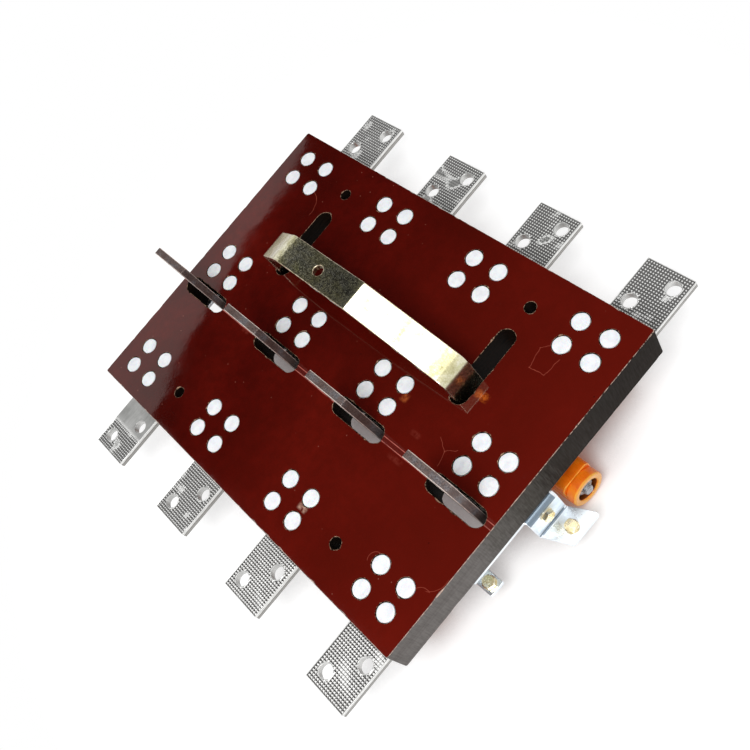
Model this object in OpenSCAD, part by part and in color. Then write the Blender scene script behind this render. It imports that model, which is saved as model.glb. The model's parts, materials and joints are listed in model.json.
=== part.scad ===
// Four-pole changeover knife switch on a thick insulating board.
//
// Installed upright: +X runs along the board to the right of a person in front of it,
// +Y points out of the rear face, where the feed bars and the yoke stand, and +Z points up.
// The knives, jaws and crossbar are on the front, towards -Y.
// The origin is the centre of the board's rear face. All sizes are in millimetres.

/* [Board] */
// Length of the board along the row of poles
board_w = 366; // [350:1:450]
// Height of the board
board_h = 267; // [250:1:330]
// Thickness of the board
board_t = 31; // [22:0.5:38]
// Distance from one pole to the next
pole_pitch = 100; // [97:1:104]
// Height of the top and bottom contacts above and below the hinge row
jaw_z = 103.5; // [102:0.5:115]

/* [Board fixings] */
// Distance between the mounting holes along the board
mount_dx = 202; // [190:1:210]
// Distance between the mounting holes up the board
mount_dz = 208; // [205:1:230]
// Diameter of the mounting holes
mount_hole_d = 9; // [6:0.5:12]

/* [Contact screws] */
// Thread diameter of the screws that hold each contact
screw_d = 6; // [5:0.5:7]
// Half the distance between a contact's screws, along the board
screw_dx = 12.15; // [11.5:0.05:13]
// Half the distance between a contact's screws, up the board
screw_dz = 10.1; // [9.5:0.1:10.5]
// Width of the hexagonal heads and nuts across their flats
screw_af = 10; // [8:0.5:12]
// Height of a screw head
head_h = 4; // [3:0.5:5]
// Height of a nut
nut_h = 5; // [3:0.5:6]
// Diameter of the sunk hole over each screw head
sink_d = 14.2; // [13:0.1:16]
// Depth of the wax over each screw head
wax_t = 5; // [2:0.5:8]

/* [Terminal bars] */
// Width of every terminal bar
bar_w = 40; // [36:1:48]
// Thickness of every terminal bar
bar_t = 6; // [3:0.5:8]
// How far the top and bottom bars stand out past the board
bar_reach = 52.5; // [45:0.5:80]
// Diameter of the cable bolt holes
lug_hole_d = 11; // [7:0.5:13]
// Distance of the two cable bolt holes from the bar's middle line
lug_dx = 10; // [8:0.5:11]
// Distance of the outer cable bolt hole from the bar's end
lug_outer = 12; // [9:0.5:16]
// Distance between the two cable bolt holes along the bar
lug_pitch = 22; // [18:0.5:26]

/* [Rear terminals] */
// How far the rear bars stand out of the rear face
rear_reach = 53; // [40:1:90]
// Height of the lower face of the rear bars, below the hinge row
rear_drop = 31; // [27:0.5:31.5]
// Inner radius of the bend between a rear bar and its foot
bend_r = 2; // [1:0.5:3]
// Gap between a rear bar's edges and the ends of its slot
rear_slot_side = 6; // [3:0.5:6.5]
// Gap between a rear bar's faces and the long sides of its slot
rear_slot_face = 4.25; // [3:0.25:6]
// How far the slot's middle line is below the bar's, to clear the wax plugs above
rear_slot_drop = 2; // [0:0.5:3]

/* [Knives] */
// Thickness of a knife
knife_t = 6; // [4:0.1:7.5]
// Width of a knife
knife_w = 30; // [24:1:32]
// Distance of the hinge axis in front of the board
hinge_out = 35.5; // [35:0.5:50]
// Diameter of the hinge pins
pin_d = 10; // [8:0.5:12]
// Radial clearance of the hinge pin in the knife
pin_clearance = 0.05; // [0.02:0.01:0.1]
// Gap between a knife and each leaf of a contact
leaf_gap = 0.3; // [0.3:0.05:1]

/* [Contacts] */
// Thickness of a contact's foot
foot_t = 3; // [2:0.5:4]
// Thickness of a contact's leaves
leaf_t = 2.5; // [1.5:0.25:2.75]
// Height of a jaw's leaves, measured up the board
jaw_len = 30; // [24:1:32]
// How far a jaw's lips turn outwards
lip_flare = 2; // [1:0.5:3]

/* [Crossbar] */
// Distance of the crossbar's axis from the hinge axis
crossbar_r = 33.6; // [33:0.1:40]
// Width of the insulating sleeves, a rounded square
sleeve_w = 27; // [22:1:28]
// Diameter of the round collars at the ends
collar_d = 28; // [24:1:28]
// Length of the round collars
collar_len = 8; // [5:1:14]
// How far the crossbar reaches past the outer poles
crossbar_over = 39; // [25:1:39]
// Diameter of the steel rod in the crossbar
rod_d = 8; // [6:0.5:10]
// Width of the rod's nuts across their flats
rod_nut_af = 13; // [10:0.5:15]
// How far the rod's ends stand out of the sleeves
rod_out = 1; // [0:0.5:4]
// Depth of the recess around each rod nut
recess_depth = 9; // [6:0.5:12]
// Diameter of the recess around each rod nut
recess_d = 18; // [16:0.5:20]

/* [Yoke] */
// Width of the flat bar that the yoke is bent from
yoke_w = 24; // [18:1:26]
// Thickness of the yoke's flat bar
yoke_t = 4.5; // [3:0.5:6]
// Distance between the middles of the yoke's legs
yoke_span = 203.5; // [198:0.5:206]
// Height of the yoke's arch above the rear face, to its top
yoke_rise = 50; // [40:1:80]
// Height of the yoke's shoulders above the rear face
shoulder_rise = 23.5; // [12:0.5:30]
// Length of the flat top of the arch, which has the yoke's hole at its middle
yoke_flat = 80; // [60:1:100]
// How far the yoke slides up
yoke_travel = 33; // [20:1:34]
// Gap between the yoke's legs and the sides of their slots
slot_gap = 5.2; // [5:0.1:7]
// Gap between the yoke at rest and the lower ends of its slots, which stop it
slot_stop_gap = 2; // [1:0.5:5]
// Diameter of the hole in the yoke
yoke_hole_d = 8.5; // [6:0.5:12]
// Distance of the yoke's hole from its middle
yoke_hole_x = 25; // [0:1:45]

/* [End brackets] */
// Thickness of the brackets
bracket_t = 3; // [2:0.5:4]
// How far the brackets stand in front of the board
bracket_out = 29; // [26:0.5:30]
// How far the brackets' webs stand out past the board's ends
web_over = 4; // [3.5:0.5:8]
// How far the ears stand out from the webs
ear_out = 22; // [20:1:35]
// Height of the ears where they leave the webs
ear_h = 28; // [20:1:28]
// How much higher the ears' outer ends are, because the plate is cut at a slant
ear_rise = 10; // [0:1:10]
// Thread diameter of the bracket bolts
bolt_d = 6; // [5:0.5:8]
// Width of the bracket bolts' heads across their flats
bolt_af = 10; // [8:0.5:12]

/* [Hidden] */
$fn = 64;

// Clearances that several pieces share.
cut = 1;            // how far a cutting shape runs past a face
hole_gap = 0.3;     // radial gap of a screw in its clearance hole
move_gap = 5;       // gap between a moving piece and a fixed one
beside_gap = 1.5;   // gap between two fixed pieces that lie side by side

// The poles, counted from the left as seen from the front.
POLES = [1, 2, 3, 4];
function pole_x(n) = (n - 2.5) * pole_pitch;

// Depths, from the rear face towards the front.
front_y = -board_t;
bar_y = front_y - bar_t;
foot_y = bar_y - foot_t;
hinge_y = front_y - hinge_out;
leaf_tip_y = hinge_y - knife_w / 2;
screw_hole_d = screw_d + 2 * hole_gap;
screw_seat_y = -(wax_t + head_h);

// Contact feet are just tall enough for their screws.
foot_w = bar_w;
nut_corner = screw_af / sqrt(3);
foot_half_h = screw_dz + nut_corner + 0.2;
jaw_foot_half_h = max(foot_half_h, jaw_len / 2);
leaf_x = knife_t / 2 + leaf_gap;
bar_end_z = board_h / 2 + bar_reach;
bar_start_z = jaw_z - jaw_foot_half_h;
knife_tip_r = 6;
knife_len = jaw_z + jaw_len / 2;

// The crossbar at rest stands level with the yoke.
crossbar_end = pole_x(4) + crossbar_over;
yoke_z = crossbar_r;
yoke_low_z = yoke_z - yoke_w / 2;
yoke_foot_y = front_y - move_gap;
yoke_foot_len = 20;
crosspiece_y = yoke_foot_y - yoke_t;
crosspiece_t = yoke_t;
yoke_bolt_x = yoke_span / 2 - yoke_foot_len / 2;
yoke_bolt_d = 6;
yoke_bolt_head_d = 11;
yoke_bolt_head_h = 2.5;

// Slots in the board.
yoke_slot_w = yoke_t + 2 * slot_gap;
yoke_slot_low = yoke_low_z - slot_stop_gap;
yoke_slot_high = yoke_low_z + yoke_w + yoke_travel + slot_gap;
rear_bar_z = -rear_drop;
rear_slot_z = rear_bar_z + bar_t / 2 - rear_slot_drop;
rear_slot_w = bar_w + 2 * rear_slot_side;
rear_slot_h = bar_t + 2 * rear_slot_face;

// End brackets: a foot on the board's front, a web with an ear, and a lug lower down.
foot_in_x = pole_x(4) + bar_w / 2 + beside_gap;
foot_out_x = board_w / 2;
web_out_x = foot_out_x + web_over;
web_x = web_out_x - bracket_t;
ear_low_z = -13;
ear_high_z = ear_low_z + ear_h;
ear_y = front_y - bracket_out;
ear_bolt_x = web_out_x + ear_out / 2 + 2;
ear_bolt_z = ear_low_z + ear_h / 2 + ear_rise / 2;
web_bolt_y = front_y - bracket_out / 3;
web_bolt_z = ear_low_z + ear_h / 2;
lug_low_z = -64.5;
lug_high_z = -51.5;
lug_in_x = web_out_x - 20;
lug_bolt_x = web_out_x - 7;
lug_bolt_z = (lug_low_z + lug_high_z) / 2;
bracket_screw_d = 4;
bracket_screw_head_d = 7;
bracket_screw_len = 14;

// A hexagonal prism with its corners up and down the board, standing along +Y.
module hex_prism(across_flats, h) {
    rotate([-90, 0, 0]) rotate([0, 0, 30]) rotate([0, 0, 60])
        cylinder(d = across_flats * 2 / sqrt(3), h = h, $fn = 6);
}

// A round bar along +Y.
module rod_y(d, h) {
    rotate([-90, 0, 0]) cylinder(d = d, h = h);
}

// A round bar along X, centred on the origin.
module rod_x(d, h) {
    rotate([0, 90, 0]) cylinder(d = d, h = h, center = true);
}

// A slot with fully round ends, cut along +Y, centred on the origin in X and Z.
module slot_y(w, h, depth) {
    r = min(w, h) / 2;
    rotate([-90, 0, 0]) linear_extrude(depth) {
        square([w - (w > h ? 2 * r : 0), h - (h > w ? 2 * r : 0)], center = true);
        for (s = [-1, 1])
            translate(w > h ? [s * (w / 2 - r), 0] : [0, s * (h / 2 - r)]) circle(r);
    }
}

// Repeats its children at the four screws of one contact.
module at_contact_screws() {
    for (sx = [-1, 1], sz = [-1, 1]) translate([sx * screw_dx, 0, sz * screw_dz]) children();
}

// Repeats its children at every contact of one row.
module at_row(z) {
    for (n = POLES) translate([pole_x(n), 0, z]) children();
}

module base_board() {
    color([0.33, 0.06, 0.05]) difference() {
        translate([-board_w / 2, front_y, -board_h / 2]) cube([board_w, board_t, board_h]);
        for (z = [-jaw_z, 0, jaw_z]) at_row(z) at_contact_screws() {
            translate([0, screw_seat_y, 0]) rod_y(sink_d, -screw_seat_y + cut);
            translate([0, front_y - cut, 0]) rod_y(screw_hole_d, board_t + cut);
        }
        for (sx = [-1, 1], sz = [-1, 1])
            translate([sx * mount_dx / 2, front_y - cut, sz * mount_dz / 2])
                rod_y(mount_hole_d, board_t + 2 * cut);
        at_row(rear_slot_z) translate([0, front_y - cut, 0])
            slot_y(rear_slot_w, rear_slot_h, board_t + 2 * cut);
        for (s = [-1, 1])
            translate([s * yoke_span / 2, front_y - cut, (yoke_slot_low + yoke_slot_high) / 2])
                slot_y(yoke_slot_w, yoke_slot_high - yoke_slot_low, board_t + 2 * cut);
        for (s = [-1, 1]) at_bracket_screws(s)
            translate([0, front_y - cut, 0]) rod_y(bracket_screw_d, bracket_screw_len + cut);
    }
}

// White wax that fills the sunk holes flush with the rear face.
module wax_plugs(z) {
    color([0.93, 0.93, 0.92]) at_row(z) at_contact_screws()
        translate([0, -wax_t, 0]) rod_y(sink_d, wax_t);
}

// Hexagonal screws from the rear, with their nuts on the contacts' feet.
module contact_screws(z) {
    color([0.72, 0.73, 0.74]) at_row(z) at_contact_screws() {
        translate([0, screw_seat_y, 0]) hex_prism(screw_af, head_h);
        translate([0, foot_y - nut_h, 0]) hex_prism(screw_af, nut_h);
        translate([0, foot_y - nut_h - 1.5, 0]) rod_y(screw_d, screw_seat_y - foot_y + nut_h + 1.5);
    }
}

// A flat bar up the board's front, with two cable holes set diagonally near its outer end.
module terminal_bar() {
    lug_z = bar_end_z - lug_outer;
    color([0.76, 0.75, 0.73]) difference() {
        translate([-bar_w / 2, bar_y, bar_start_z])
            cube([bar_w, bar_t, bar_end_z - bar_start_z]);
        translate([0, bar_y - cut, jaw_z]) at_contact_screws() rod_y(screw_hole_d, bar_t + 2 * cut);
        translate([-lug_dx, bar_y - cut, lug_z]) rod_y(lug_hole_d, bar_t + 2 * cut);
        translate([lug_dx, bar_y - cut, lug_z - lug_pitch]) rod_y(lug_hole_d, bar_t + 2 * cut);
    }
}

module top_terminal(n) {
    translate([pole_x(n), 0, 0]) terminal_bar();
}

// The bottom bars are the same bars turned upside down.
module bottom_terminal(n) {
    translate([pole_x(n), 0, 0]) rotate([0, 180, 0]) terminal_bar();
}

// A bar bent at right angles: its foot is under the hinge clip, and its long leg
// stands out of the rear face through the board's slot.
module rear_terminal(n) {
    outer_r = bend_r + bar_t;
    bend = [front_y + bend_r, rear_bar_z + outer_r];
    color([0.76, 0.75, 0.73]) translate([pole_x(n), 0, 0]) difference() {
        translate([-bar_w / 2, 0, 0]) rotate([90, 0, 90]) linear_extrude(bar_w) {
            translate([bend[0], rear_bar_z]) square([rear_reach - bend[0], bar_t]);
            translate([bar_y, bend[1]]) square([bar_t, foot_half_h - bend[1]]);
            intersection() {
                difference() {
                    translate(bend) circle(outer_r);
                    translate(bend) circle(bend_r);
                }
                translate([bar_y, rear_bar_z]) square(outer_r);
            }
        }
        translate([0, bar_y - cut, 0]) at_contact_screws() rod_y(screw_hole_d, bar_t + 2 * cut);
    }
}

// The foot of a jaw or hinge clip, lying on its terminal bar.
module contact_foot(half_h) {
    difference() {
        translate([-foot_w / 2, foot_y, -half_h]) cube([foot_w, foot_t, 2 * half_h]);
        translate([0, foot_y - cut, 0]) at_contact_screws() rod_y(screw_hole_d, foot_t + 2 * cut);
    }
}

// One jaw leaf, seen from above: straight, with a lip that turns outwards.
module jaw_leaf() {
    lip = 5;
    polygon([
        [leaf_x, foot_y + foot_t / 2],
        [leaf_x, leaf_tip_y + lip],
        [leaf_x + lip_flare, leaf_tip_y],
        [leaf_x + lip_flare + leaf_t, leaf_tip_y],
        [leaf_x + leaf_t, leaf_tip_y + lip],
        [leaf_x + leaf_t, foot_y + foot_t / 2]
    ]);
}

// A forked contact that grips the knife between two leaves.
module jaw(n, z) {
    color([0.78, 0.48, 0.32]) translate([pole_x(n), 0, z]) {
        contact_foot(jaw_foot_half_h);
        for (s = [0, 1]) mirror([s, 0, 0])
            translate([0, 0, -jaw_len / 2]) linear_extrude(jaw_len) jaw_leaf();
    }
}

// The forked post that carries a knife on its pin.
module hinge_clip(n) {
    post_r = knife_w / 2 - 1;
    color([0.78, 0.48, 0.32]) translate([pole_x(n), 0, 0]) {
        contact_foot(foot_half_h);
        for (s = [-1, 1]) translate([s * (leaf_x + leaf_t / 2), 0, 0]) difference() {
            union() {
                translate([-leaf_t / 2, hinge_y, -post_r])
                    cube([leaf_t, foot_y + foot_t / 2 - hinge_y, 2 * post_r]);
                translate([0, hinge_y, 0]) rod_x(2 * post_r, leaf_t);
            }
            translate([0, hinge_y, 0]) rod_x(pin_d, leaf_t + 2 * cut);
        }
    }
}

// A pin through each hinge, with a round head on one side and a nut on the other.
module hinge_pins() {
    clip_half = leaf_x + leaf_t;
    head_t = 3;
    nut_t = 6;
    color([0.72, 0.73, 0.74]) for (n = POLES) translate([pole_x(n), hinge_y, 0]) {
        translate([(nut_t - head_t) / 2, 0, 0]) rod_x(pin_d, 2 * clip_half + head_t + nut_t);
        translate([-clip_half - head_t / 2, 0, 0]) rod_x(pin_d * 1.6, head_t);
        translate([clip_half, 0, 0]) rotate([0, 90, 0])
            cylinder(d = pin_d * 1.9, h = nut_t - 1.5, $fn = 6);
    }
}

// A flat copper blade. It swings on the pin at its round end, and the crossbar's rod passes through it.
module knife(n) {
    color([0.80, 0.50, 0.33]) translate([pole_x(n), hinge_y, 0]) difference() {
        union() {
            rod_x(knife_w, knife_t);
            translate([-knife_t / 2, -knife_w / 2, 0]) cube([knife_t, knife_w, knife_len - knife_tip_r]);
            translate([-knife_t / 2, -knife_w / 2 + knife_tip_r, 0])
                cube([knife_t, knife_w - 2 * knife_tip_r, knife_len]);
            for (s = [-1, 1])
                translate([0, s * (knife_w / 2 - knife_tip_r), knife_len - knife_tip_r])
                    rod_x(2 * knife_tip_r, knife_t);
        }
        rod_x(pin_d + 2 * pin_clearance, knife_t + 2 * cut);
        translate([0, 0, crossbar_r]) rod_x(rod_d, knife_t + 2 * cut);
    }
}

// The steel rod that ties the four knives together, with a nut at each end.
module crossbar_rod() {
    nut_t = 5;
    color([0.70, 0.71, 0.73]) translate([0, hinge_y, crossbar_r]) {
        rod_x(rod_d, 2 * (crossbar_end + rod_out));
        for (s = [0, 1]) mirror([s, 0, 0])
            translate([crossbar_end - recess_depth, 0, 0]) rotate([0, 90, 0])
                cylinder(d = rod_nut_af * 2 / sqrt(3), h = nut_t, $fn = 6);
    }
}

// A square sleeve with round corners, along X from x0 to x1.
module sleeve_block(x0, x1) {
    r = 5;
    flat = sleeve_w - 2 * r;
    translate([x0, 0, 0]) rotate([90, 0, 90]) linear_extrude(x1 - x0) {
        square([sleeve_w, flat], center = true);
        square([flat, sleeve_w], center = true);
        for (sy = [-1, 1], sz = [-1, 1]) translate([sy * flat / 2, sz * flat / 2]) circle(r);
    }
}

// Insulating sleeves on the rod: one between each two knives and one past each outer knife.
module crossbar_sleeves() {
    half_knife = knife_t / 2;
    color([0.95, 0.45, 0.05]) translate([0, hinge_y, crossbar_r]) {
        for (n = [1, 2, 3]) difference() {
            sleeve_block(pole_x(n) + half_knife, pole_x(n + 1) - half_knife);
            translate([(pole_x(n) + pole_x(n + 1)) / 2, 0, 0]) rod_x(rod_d, pole_pitch);
        }
        for (s = [0, 1]) mirror([s, 0, 0]) difference() {
            union() {
                sleeve_block(pole_x(4) + half_knife, crossbar_end - collar_len);
                translate([crossbar_end - collar_len / 2, 0, 0]) rod_x(collar_d, collar_len);
            }
            translate([crossbar_end - crossbar_over / 2, 0, 0]) rod_x(rod_d, crossbar_over + 2 * cut);
            translate([crossbar_end, 0, 0]) rod_x(recess_d, 2 * recess_depth);
        }
    }
}

// The unit vector at right angles to a step, to its left.
function left_of(step) = [-step[1], step[0]] / norm(step);

// A point beside corner i of a path, at the distance d to its left. Neighbouring edges meet there.
function beside(path, i, d) =
    let (
        last = len(path) - 1,
        before = left_of(path[max(i, 1)] - path[max(i, 1) - 1]),
        after = left_of(path[min(i + 1, last)] - path[min(i + 1, last) - 1]),
        middle = (before + after) / norm(before + after)
    )
    path[i] + d * middle / (middle * before);

// A flat bar bent along a list of points, lying in the plane of the list.
module bent_strip(path, t) {
    last = len(path) - 1;
    polygon(concat(
        [for (i = [0 : last]) beside(path, i, t / 2)],
        [for (i = [last : -1 : 0]) beside(path, i, -t / 2)]
    ));
}

// The arched yoke. Its legs pass through the board's two slots and turn inwards in front.
// The flat top is to one side, so one flank is short and steep and the other is long and gentle.
module yoke() {
    half = yoke_span / 2;
    foot_mid = yoke_foot_y - yoke_t / 2;
    top_mid = yoke_rise - yoke_t / 2;
    path = [
        [-half + yoke_foot_len, foot_mid],
        [-half, foot_mid],
        [-half, shoulder_rise],
        [yoke_hole_x - yoke_flat / 2, top_mid],
        [yoke_hole_x + yoke_flat / 2, top_mid],
        [half, shoulder_rise],
        [half, foot_mid],
        [half - yoke_foot_len, foot_mid]
    ];
    color([0.72, 0.68, 0.42]) difference() {
        translate([0, 0, yoke_low_z]) linear_extrude(yoke_w) bent_strip(path, yoke_t);
        translate([yoke_hole_x, yoke_rise - yoke_t - cut, yoke_z]) rod_y(yoke_hole_d, yoke_t + 2 * cut);
        for (s = [-1, 1]) translate([s * yoke_bolt_x, crosspiece_y - cut, yoke_z])
            rod_y(yoke_bolt_d, yoke_t + 2 * cut);
    }
}

// The bar that joins the yoke's feet in front of the board, and its two screws.
module yoke_crosspiece() {
    half = yoke_span / 2;
    color([0.72, 0.68, 0.42]) {
        translate([-half, crosspiece_y - crosspiece_t, yoke_low_z])
            cube([2 * half, crosspiece_t, yoke_w]);
        for (s = [-1, 1]) translate([s * yoke_bolt_x, 0, yoke_z]) {
            translate([0, crosspiece_y - cut, 0]) rod_y(yoke_bolt_d, yoke_t + cut);
            translate([0, crosspiece_y - crosspiece_t - yoke_bolt_head_h, 0])
                rod_y(yoke_bolt_head_d, yoke_bolt_head_h + cut);
        }
    }
}

// Repeats its children at the small screws of one bracket's foot.
module at_bracket_screws(side) {
    for (z = [ear_low_z + 7, lug_high_z + 7, lug_high_z - 6])
        translate([side * (foot_in_x + foot_out_x) / 2, 0, z]) children();
}

// A bent plate at each end of the board: a long foot, a web with a wide ear and a lug below it.
module end_bracket(side) {
    color([0.80, 0.84, 0.90]) mirror([side < 0 ? 1 : 0, 0, 0]) difference() {
        union() {
            translate([foot_in_x, front_y - bracket_t, lug_low_z])
                cube([foot_out_x - foot_in_x, bracket_t, ear_high_z - lug_low_z]);
            translate([foot_in_x, front_y - bracket_t, ear_low_z])
                cube([web_out_x - foot_in_x, bracket_t, ear_h]);
            translate([web_x, ear_y, ear_low_z]) cube([bracket_t, bracket_out, ear_h]);
            translate([0, ear_y + bracket_t, 0]) rotate([90, 0, 0]) linear_extrude(bracket_t)
                polygon([
                    [web_x, ear_low_z], [web_out_x, ear_low_z],
                    [web_out_x + ear_out, ear_low_z + ear_rise],
                    [web_out_x + ear_out, ear_high_z + ear_rise],
                    [web_out_x, ear_high_z], [web_x, ear_high_z]
                ]);
            translate([lug_in_x, front_y - bracket_t, lug_low_z])
                cube([foot_out_x - lug_in_x, bracket_t, lug_high_z - lug_low_z]);
            translate([lug_in_x, ear_y, lug_low_z])
                cube([bracket_t, bracket_out, lug_high_z - lug_low_z]);
            translate([lug_in_x, ear_y, lug_low_z])
                cube([web_out_x - lug_in_x, bracket_t, lug_high_z - lug_low_z]);
        }
        translate([ear_bolt_x, ear_y - cut, ear_bolt_z]) rod_y(bolt_d, bracket_t + 2 * cut);
        translate([web_x + bracket_t / 2, web_bolt_y, web_bolt_z]) rod_x(bolt_d, bracket_t + 2 * cut);
        translate([lug_bolt_x, ear_y - cut, lug_bolt_z]) rod_y(bolt_d, bracket_t + 2 * cut);
        at_bracket_screws(1) translate([0, front_y - bracket_t - cut, 0])
            rod_y(bracket_screw_d, bracket_t + 2 * cut);
    }
}

// A bolt along +Y through a bracket plate that starts at the origin: head behind it, nut in front.
module plate_bolt() {
    bolt_head_h = 4;
    bolt_nut_h = 5;
    tail = 2;
    translate([0, bracket_t, 0]) hex_prism(bolt_af, bolt_head_h);
    translate([0, -bolt_nut_h, 0]) hex_prism(bolt_af, bolt_nut_h);
    translate([0, -bolt_nut_h - tail, 0]) rod_y(bolt_d, bolt_nut_h + tail + bracket_t + cut);
}

// The bolts of one end bracket, their nuts, and the small screws of its foot.
module bracket_bolts(side) {
    screw_head_h = 2;
    color([0.85, 0.72, 0.35]) mirror([side < 0 ? 1 : 0, 0, 0]) {
        translate([ear_bolt_x, ear_y, ear_bolt_z]) plate_bolt();
        translate([lug_bolt_x, ear_y, lug_bolt_z]) plate_bolt();
        translate([web_x, web_bolt_y, web_bolt_z]) rotate([0, 0, -90]) plate_bolt();
        at_bracket_screws(1) {
            translate([0, front_y - bracket_t, 0])
                rod_y(bracket_screw_d, bracket_t + bracket_screw_len - cut);
            translate([0, front_y - bracket_t - screw_head_h, 0])
                rod_y(bracket_screw_head_d, screw_head_h);
        }
    }
}

base_board();
wax_plugs(jaw_z);  // wax_plugs_top
wax_plugs(0);  // wax_plugs_centre
wax_plugs(-jaw_z);  // wax_plugs_bottom
contact_screws(jaw_z);  // contact_screws_top
contact_screws(0);  // contact_screws_centre
contact_screws(-jaw_z);  // contact_screws_bottom
for (n = POLES) {
    top_terminal(n);
    bottom_terminal(n);
    rear_terminal(n);
    jaw(n, jaw_z);
    jaw(n, -jaw_z);
    hinge_clip(n);
    knife(n);
}
hinge_pins();
crossbar_rod();
crossbar_sleeves();
yoke();
yoke_crosspiece();
end_bracket(-1);  // end_bracket_left
end_bracket(1);  // end_bracket_right
bracket_bolts(-1);  // bracket_bolts_left
bracket_bolts(1);  // bracket_bolts_right
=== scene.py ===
# %% [markdown]
# # A four-pole changeover knife switch
# The real switch is a thick board of laminated insulation under dark red lacquer. Screws sunk into its back
# are sealed with white wax, four copper bars come out through slots, and an arched yoke slides up and down
# to throw the knives, which are on the front. This lesson builds the looks of each piece around a packed
# model that already has every size, so the first step loads that model.
# %% Load the imported model
import json
import math

import bmesh
import bpy
import numpy as np
from mathutils import Matrix, Vector, geometry


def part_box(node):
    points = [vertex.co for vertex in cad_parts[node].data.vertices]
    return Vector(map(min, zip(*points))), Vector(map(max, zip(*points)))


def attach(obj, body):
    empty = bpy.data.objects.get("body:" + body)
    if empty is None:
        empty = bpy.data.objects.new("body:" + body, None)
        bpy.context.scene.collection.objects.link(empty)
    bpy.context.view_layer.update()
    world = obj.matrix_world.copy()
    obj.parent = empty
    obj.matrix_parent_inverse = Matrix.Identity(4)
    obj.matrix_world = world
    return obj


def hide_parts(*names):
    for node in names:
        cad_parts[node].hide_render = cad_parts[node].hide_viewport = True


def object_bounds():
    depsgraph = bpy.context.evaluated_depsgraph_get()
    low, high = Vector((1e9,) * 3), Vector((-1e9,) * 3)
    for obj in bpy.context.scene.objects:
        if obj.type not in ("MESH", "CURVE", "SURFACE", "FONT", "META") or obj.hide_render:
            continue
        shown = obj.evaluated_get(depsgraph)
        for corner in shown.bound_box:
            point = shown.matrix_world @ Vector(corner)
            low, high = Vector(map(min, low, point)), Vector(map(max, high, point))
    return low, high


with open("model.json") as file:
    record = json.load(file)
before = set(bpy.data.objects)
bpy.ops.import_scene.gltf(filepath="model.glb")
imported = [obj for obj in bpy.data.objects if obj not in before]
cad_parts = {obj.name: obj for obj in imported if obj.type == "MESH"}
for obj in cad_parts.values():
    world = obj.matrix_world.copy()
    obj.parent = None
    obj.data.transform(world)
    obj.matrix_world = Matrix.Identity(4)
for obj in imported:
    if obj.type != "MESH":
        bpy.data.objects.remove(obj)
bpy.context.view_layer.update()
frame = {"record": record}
MM = 0.001
POLES = (1, 2, 3, 4)


def box_mm(node):
    """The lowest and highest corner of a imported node, in millimetres."""
    low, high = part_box(node)
    return np.array(low) / MM, np.array(high) / MM


board_low, board_high = box_mm("base_board")
pole_x = {n: float(np.mean([c[0] for c in box_mm(f"knife_{n}")])) for n in POLES}
mounts = {m["name"]: m for m in frame["record"]["mounts"]}
bar_low, bar_high = box_mm("top_terminal_1")
rear_low, rear_high = box_mm("rear_terminal_1")
bar_thick = bar_high[1] - bar_low[1]
BAR_HALF = 20
foot_y = bar_low[1] - 3  # the front of the contacts' feet, which are 3 mm thick
print("board", board_low.round(1), board_high.round(1), "poles at", pole_x, "bars", bar_thick.round(2),
    "mm thick")

# %% [markdown]
# ## Surfaces from arrays
# Nearly every piece here is cut from plate or bar: it has an outline, holes and rounded edges. So one
# function makes them all. An outline is a closed line of points with, at each point, a unit vector that
# points out of the material. The rounded edge is a quarter circle carried along the outline, and the flat
# faces are filled by a Delaunay triangulation, which can also take loose points, such as the tips of a
# knurl.
# %% Outlines
def around(count):
    """Angles evenly round a circle, in radians, from 0 up to but without a full turn."""
    return np.linspace(0, 2 * np.pi, count, endpoint=False)


def circle(x, y, radius, count=40, hole=True):
    """Points at (x + r cos t, y + r sin t). In a hole the material is outside, so the out vector points to
    the centre."""
    t = around(count)
    ring = np.stack([np.cos(t), np.sin(t)], 1)
    return {"xy": np.array([x, y]) + radius * ring, "out": ring * (-1 if hole else 1)}


def outline(corners, radius, step=1e9, hole=False, count=6):
    """A polygon with rounded corners. Corner i turns by an angle a between the directions of its two edges.
    Its arc starts r tan(a/2) before the corner, and its points are the start turned about the arc's centre
    by angles from 0 to a. Long edges are then split so that no stretch is longer than step."""
    p = np.array(corners, float)
    radius = np.broadcast_to(np.array(radius, float), len(p))
    before = p - np.roll(p, 1, 0)
    after = np.roll(p, -1, 0) - p
    before /= np.linalg.norm(before, axis=1)[:, None]
    after /= np.linalg.norm(after, axis=1)[:, None]
    turn = np.arctan2(before[:, 0] * after[:, 1] - before[:, 1] * after[:, 0], (before * after).sum(1))
    start = p - before * (radius * np.tan(abs(turn) / 2))[:, None]
    side = np.stack([-before[:, 1], before[:, 0]], 1) * np.sign(turn)[:, None]
    centre = start + side * radius[:, None]
    angle = turn[:, None] * np.linspace(0, 1, count)
    c, s = np.cos(angle), np.sin(angle)
    spin = np.stack([c, -s, s, c], -1).reshape(len(p), count, 2, 2)
    xy = centre[:, None] + np.einsum("ijkl,il->ijk", spin, start - centre)
    right = np.stack([before[:, 1], -before[:, 0]], 1)
    out = np.einsum("ijkl,il->ijk", spin, right)
    xy, out = xy.reshape(-1, 2), out.reshape(-1, 2)
    keep = np.linalg.norm(xy - np.roll(xy, 1, 0), axis=1) > 1e-6
    xy, out = xy[keep], out[keep]
    gap = np.roll(xy, -1, 0) - xy
    parts = np.maximum(1, np.ceil(np.linalg.norm(gap, axis=1) / step)).astype(int)
    index = np.repeat(np.arange(len(xy)), parts)
    share = (np.arange(parts.sum()) - np.repeat(np.cumsum(parts) - parts, parts)) / parts[index]
    xy = xy[index] + gap[index] * share[:, None]
    out = out[index] + (np.roll(out, -1, 0)[index] - out[index]) * share[:, None]
    out /= np.linalg.norm(out, axis=1)[:, None]
    return {"xy": xy, "out": -out if hole else out}


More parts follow.
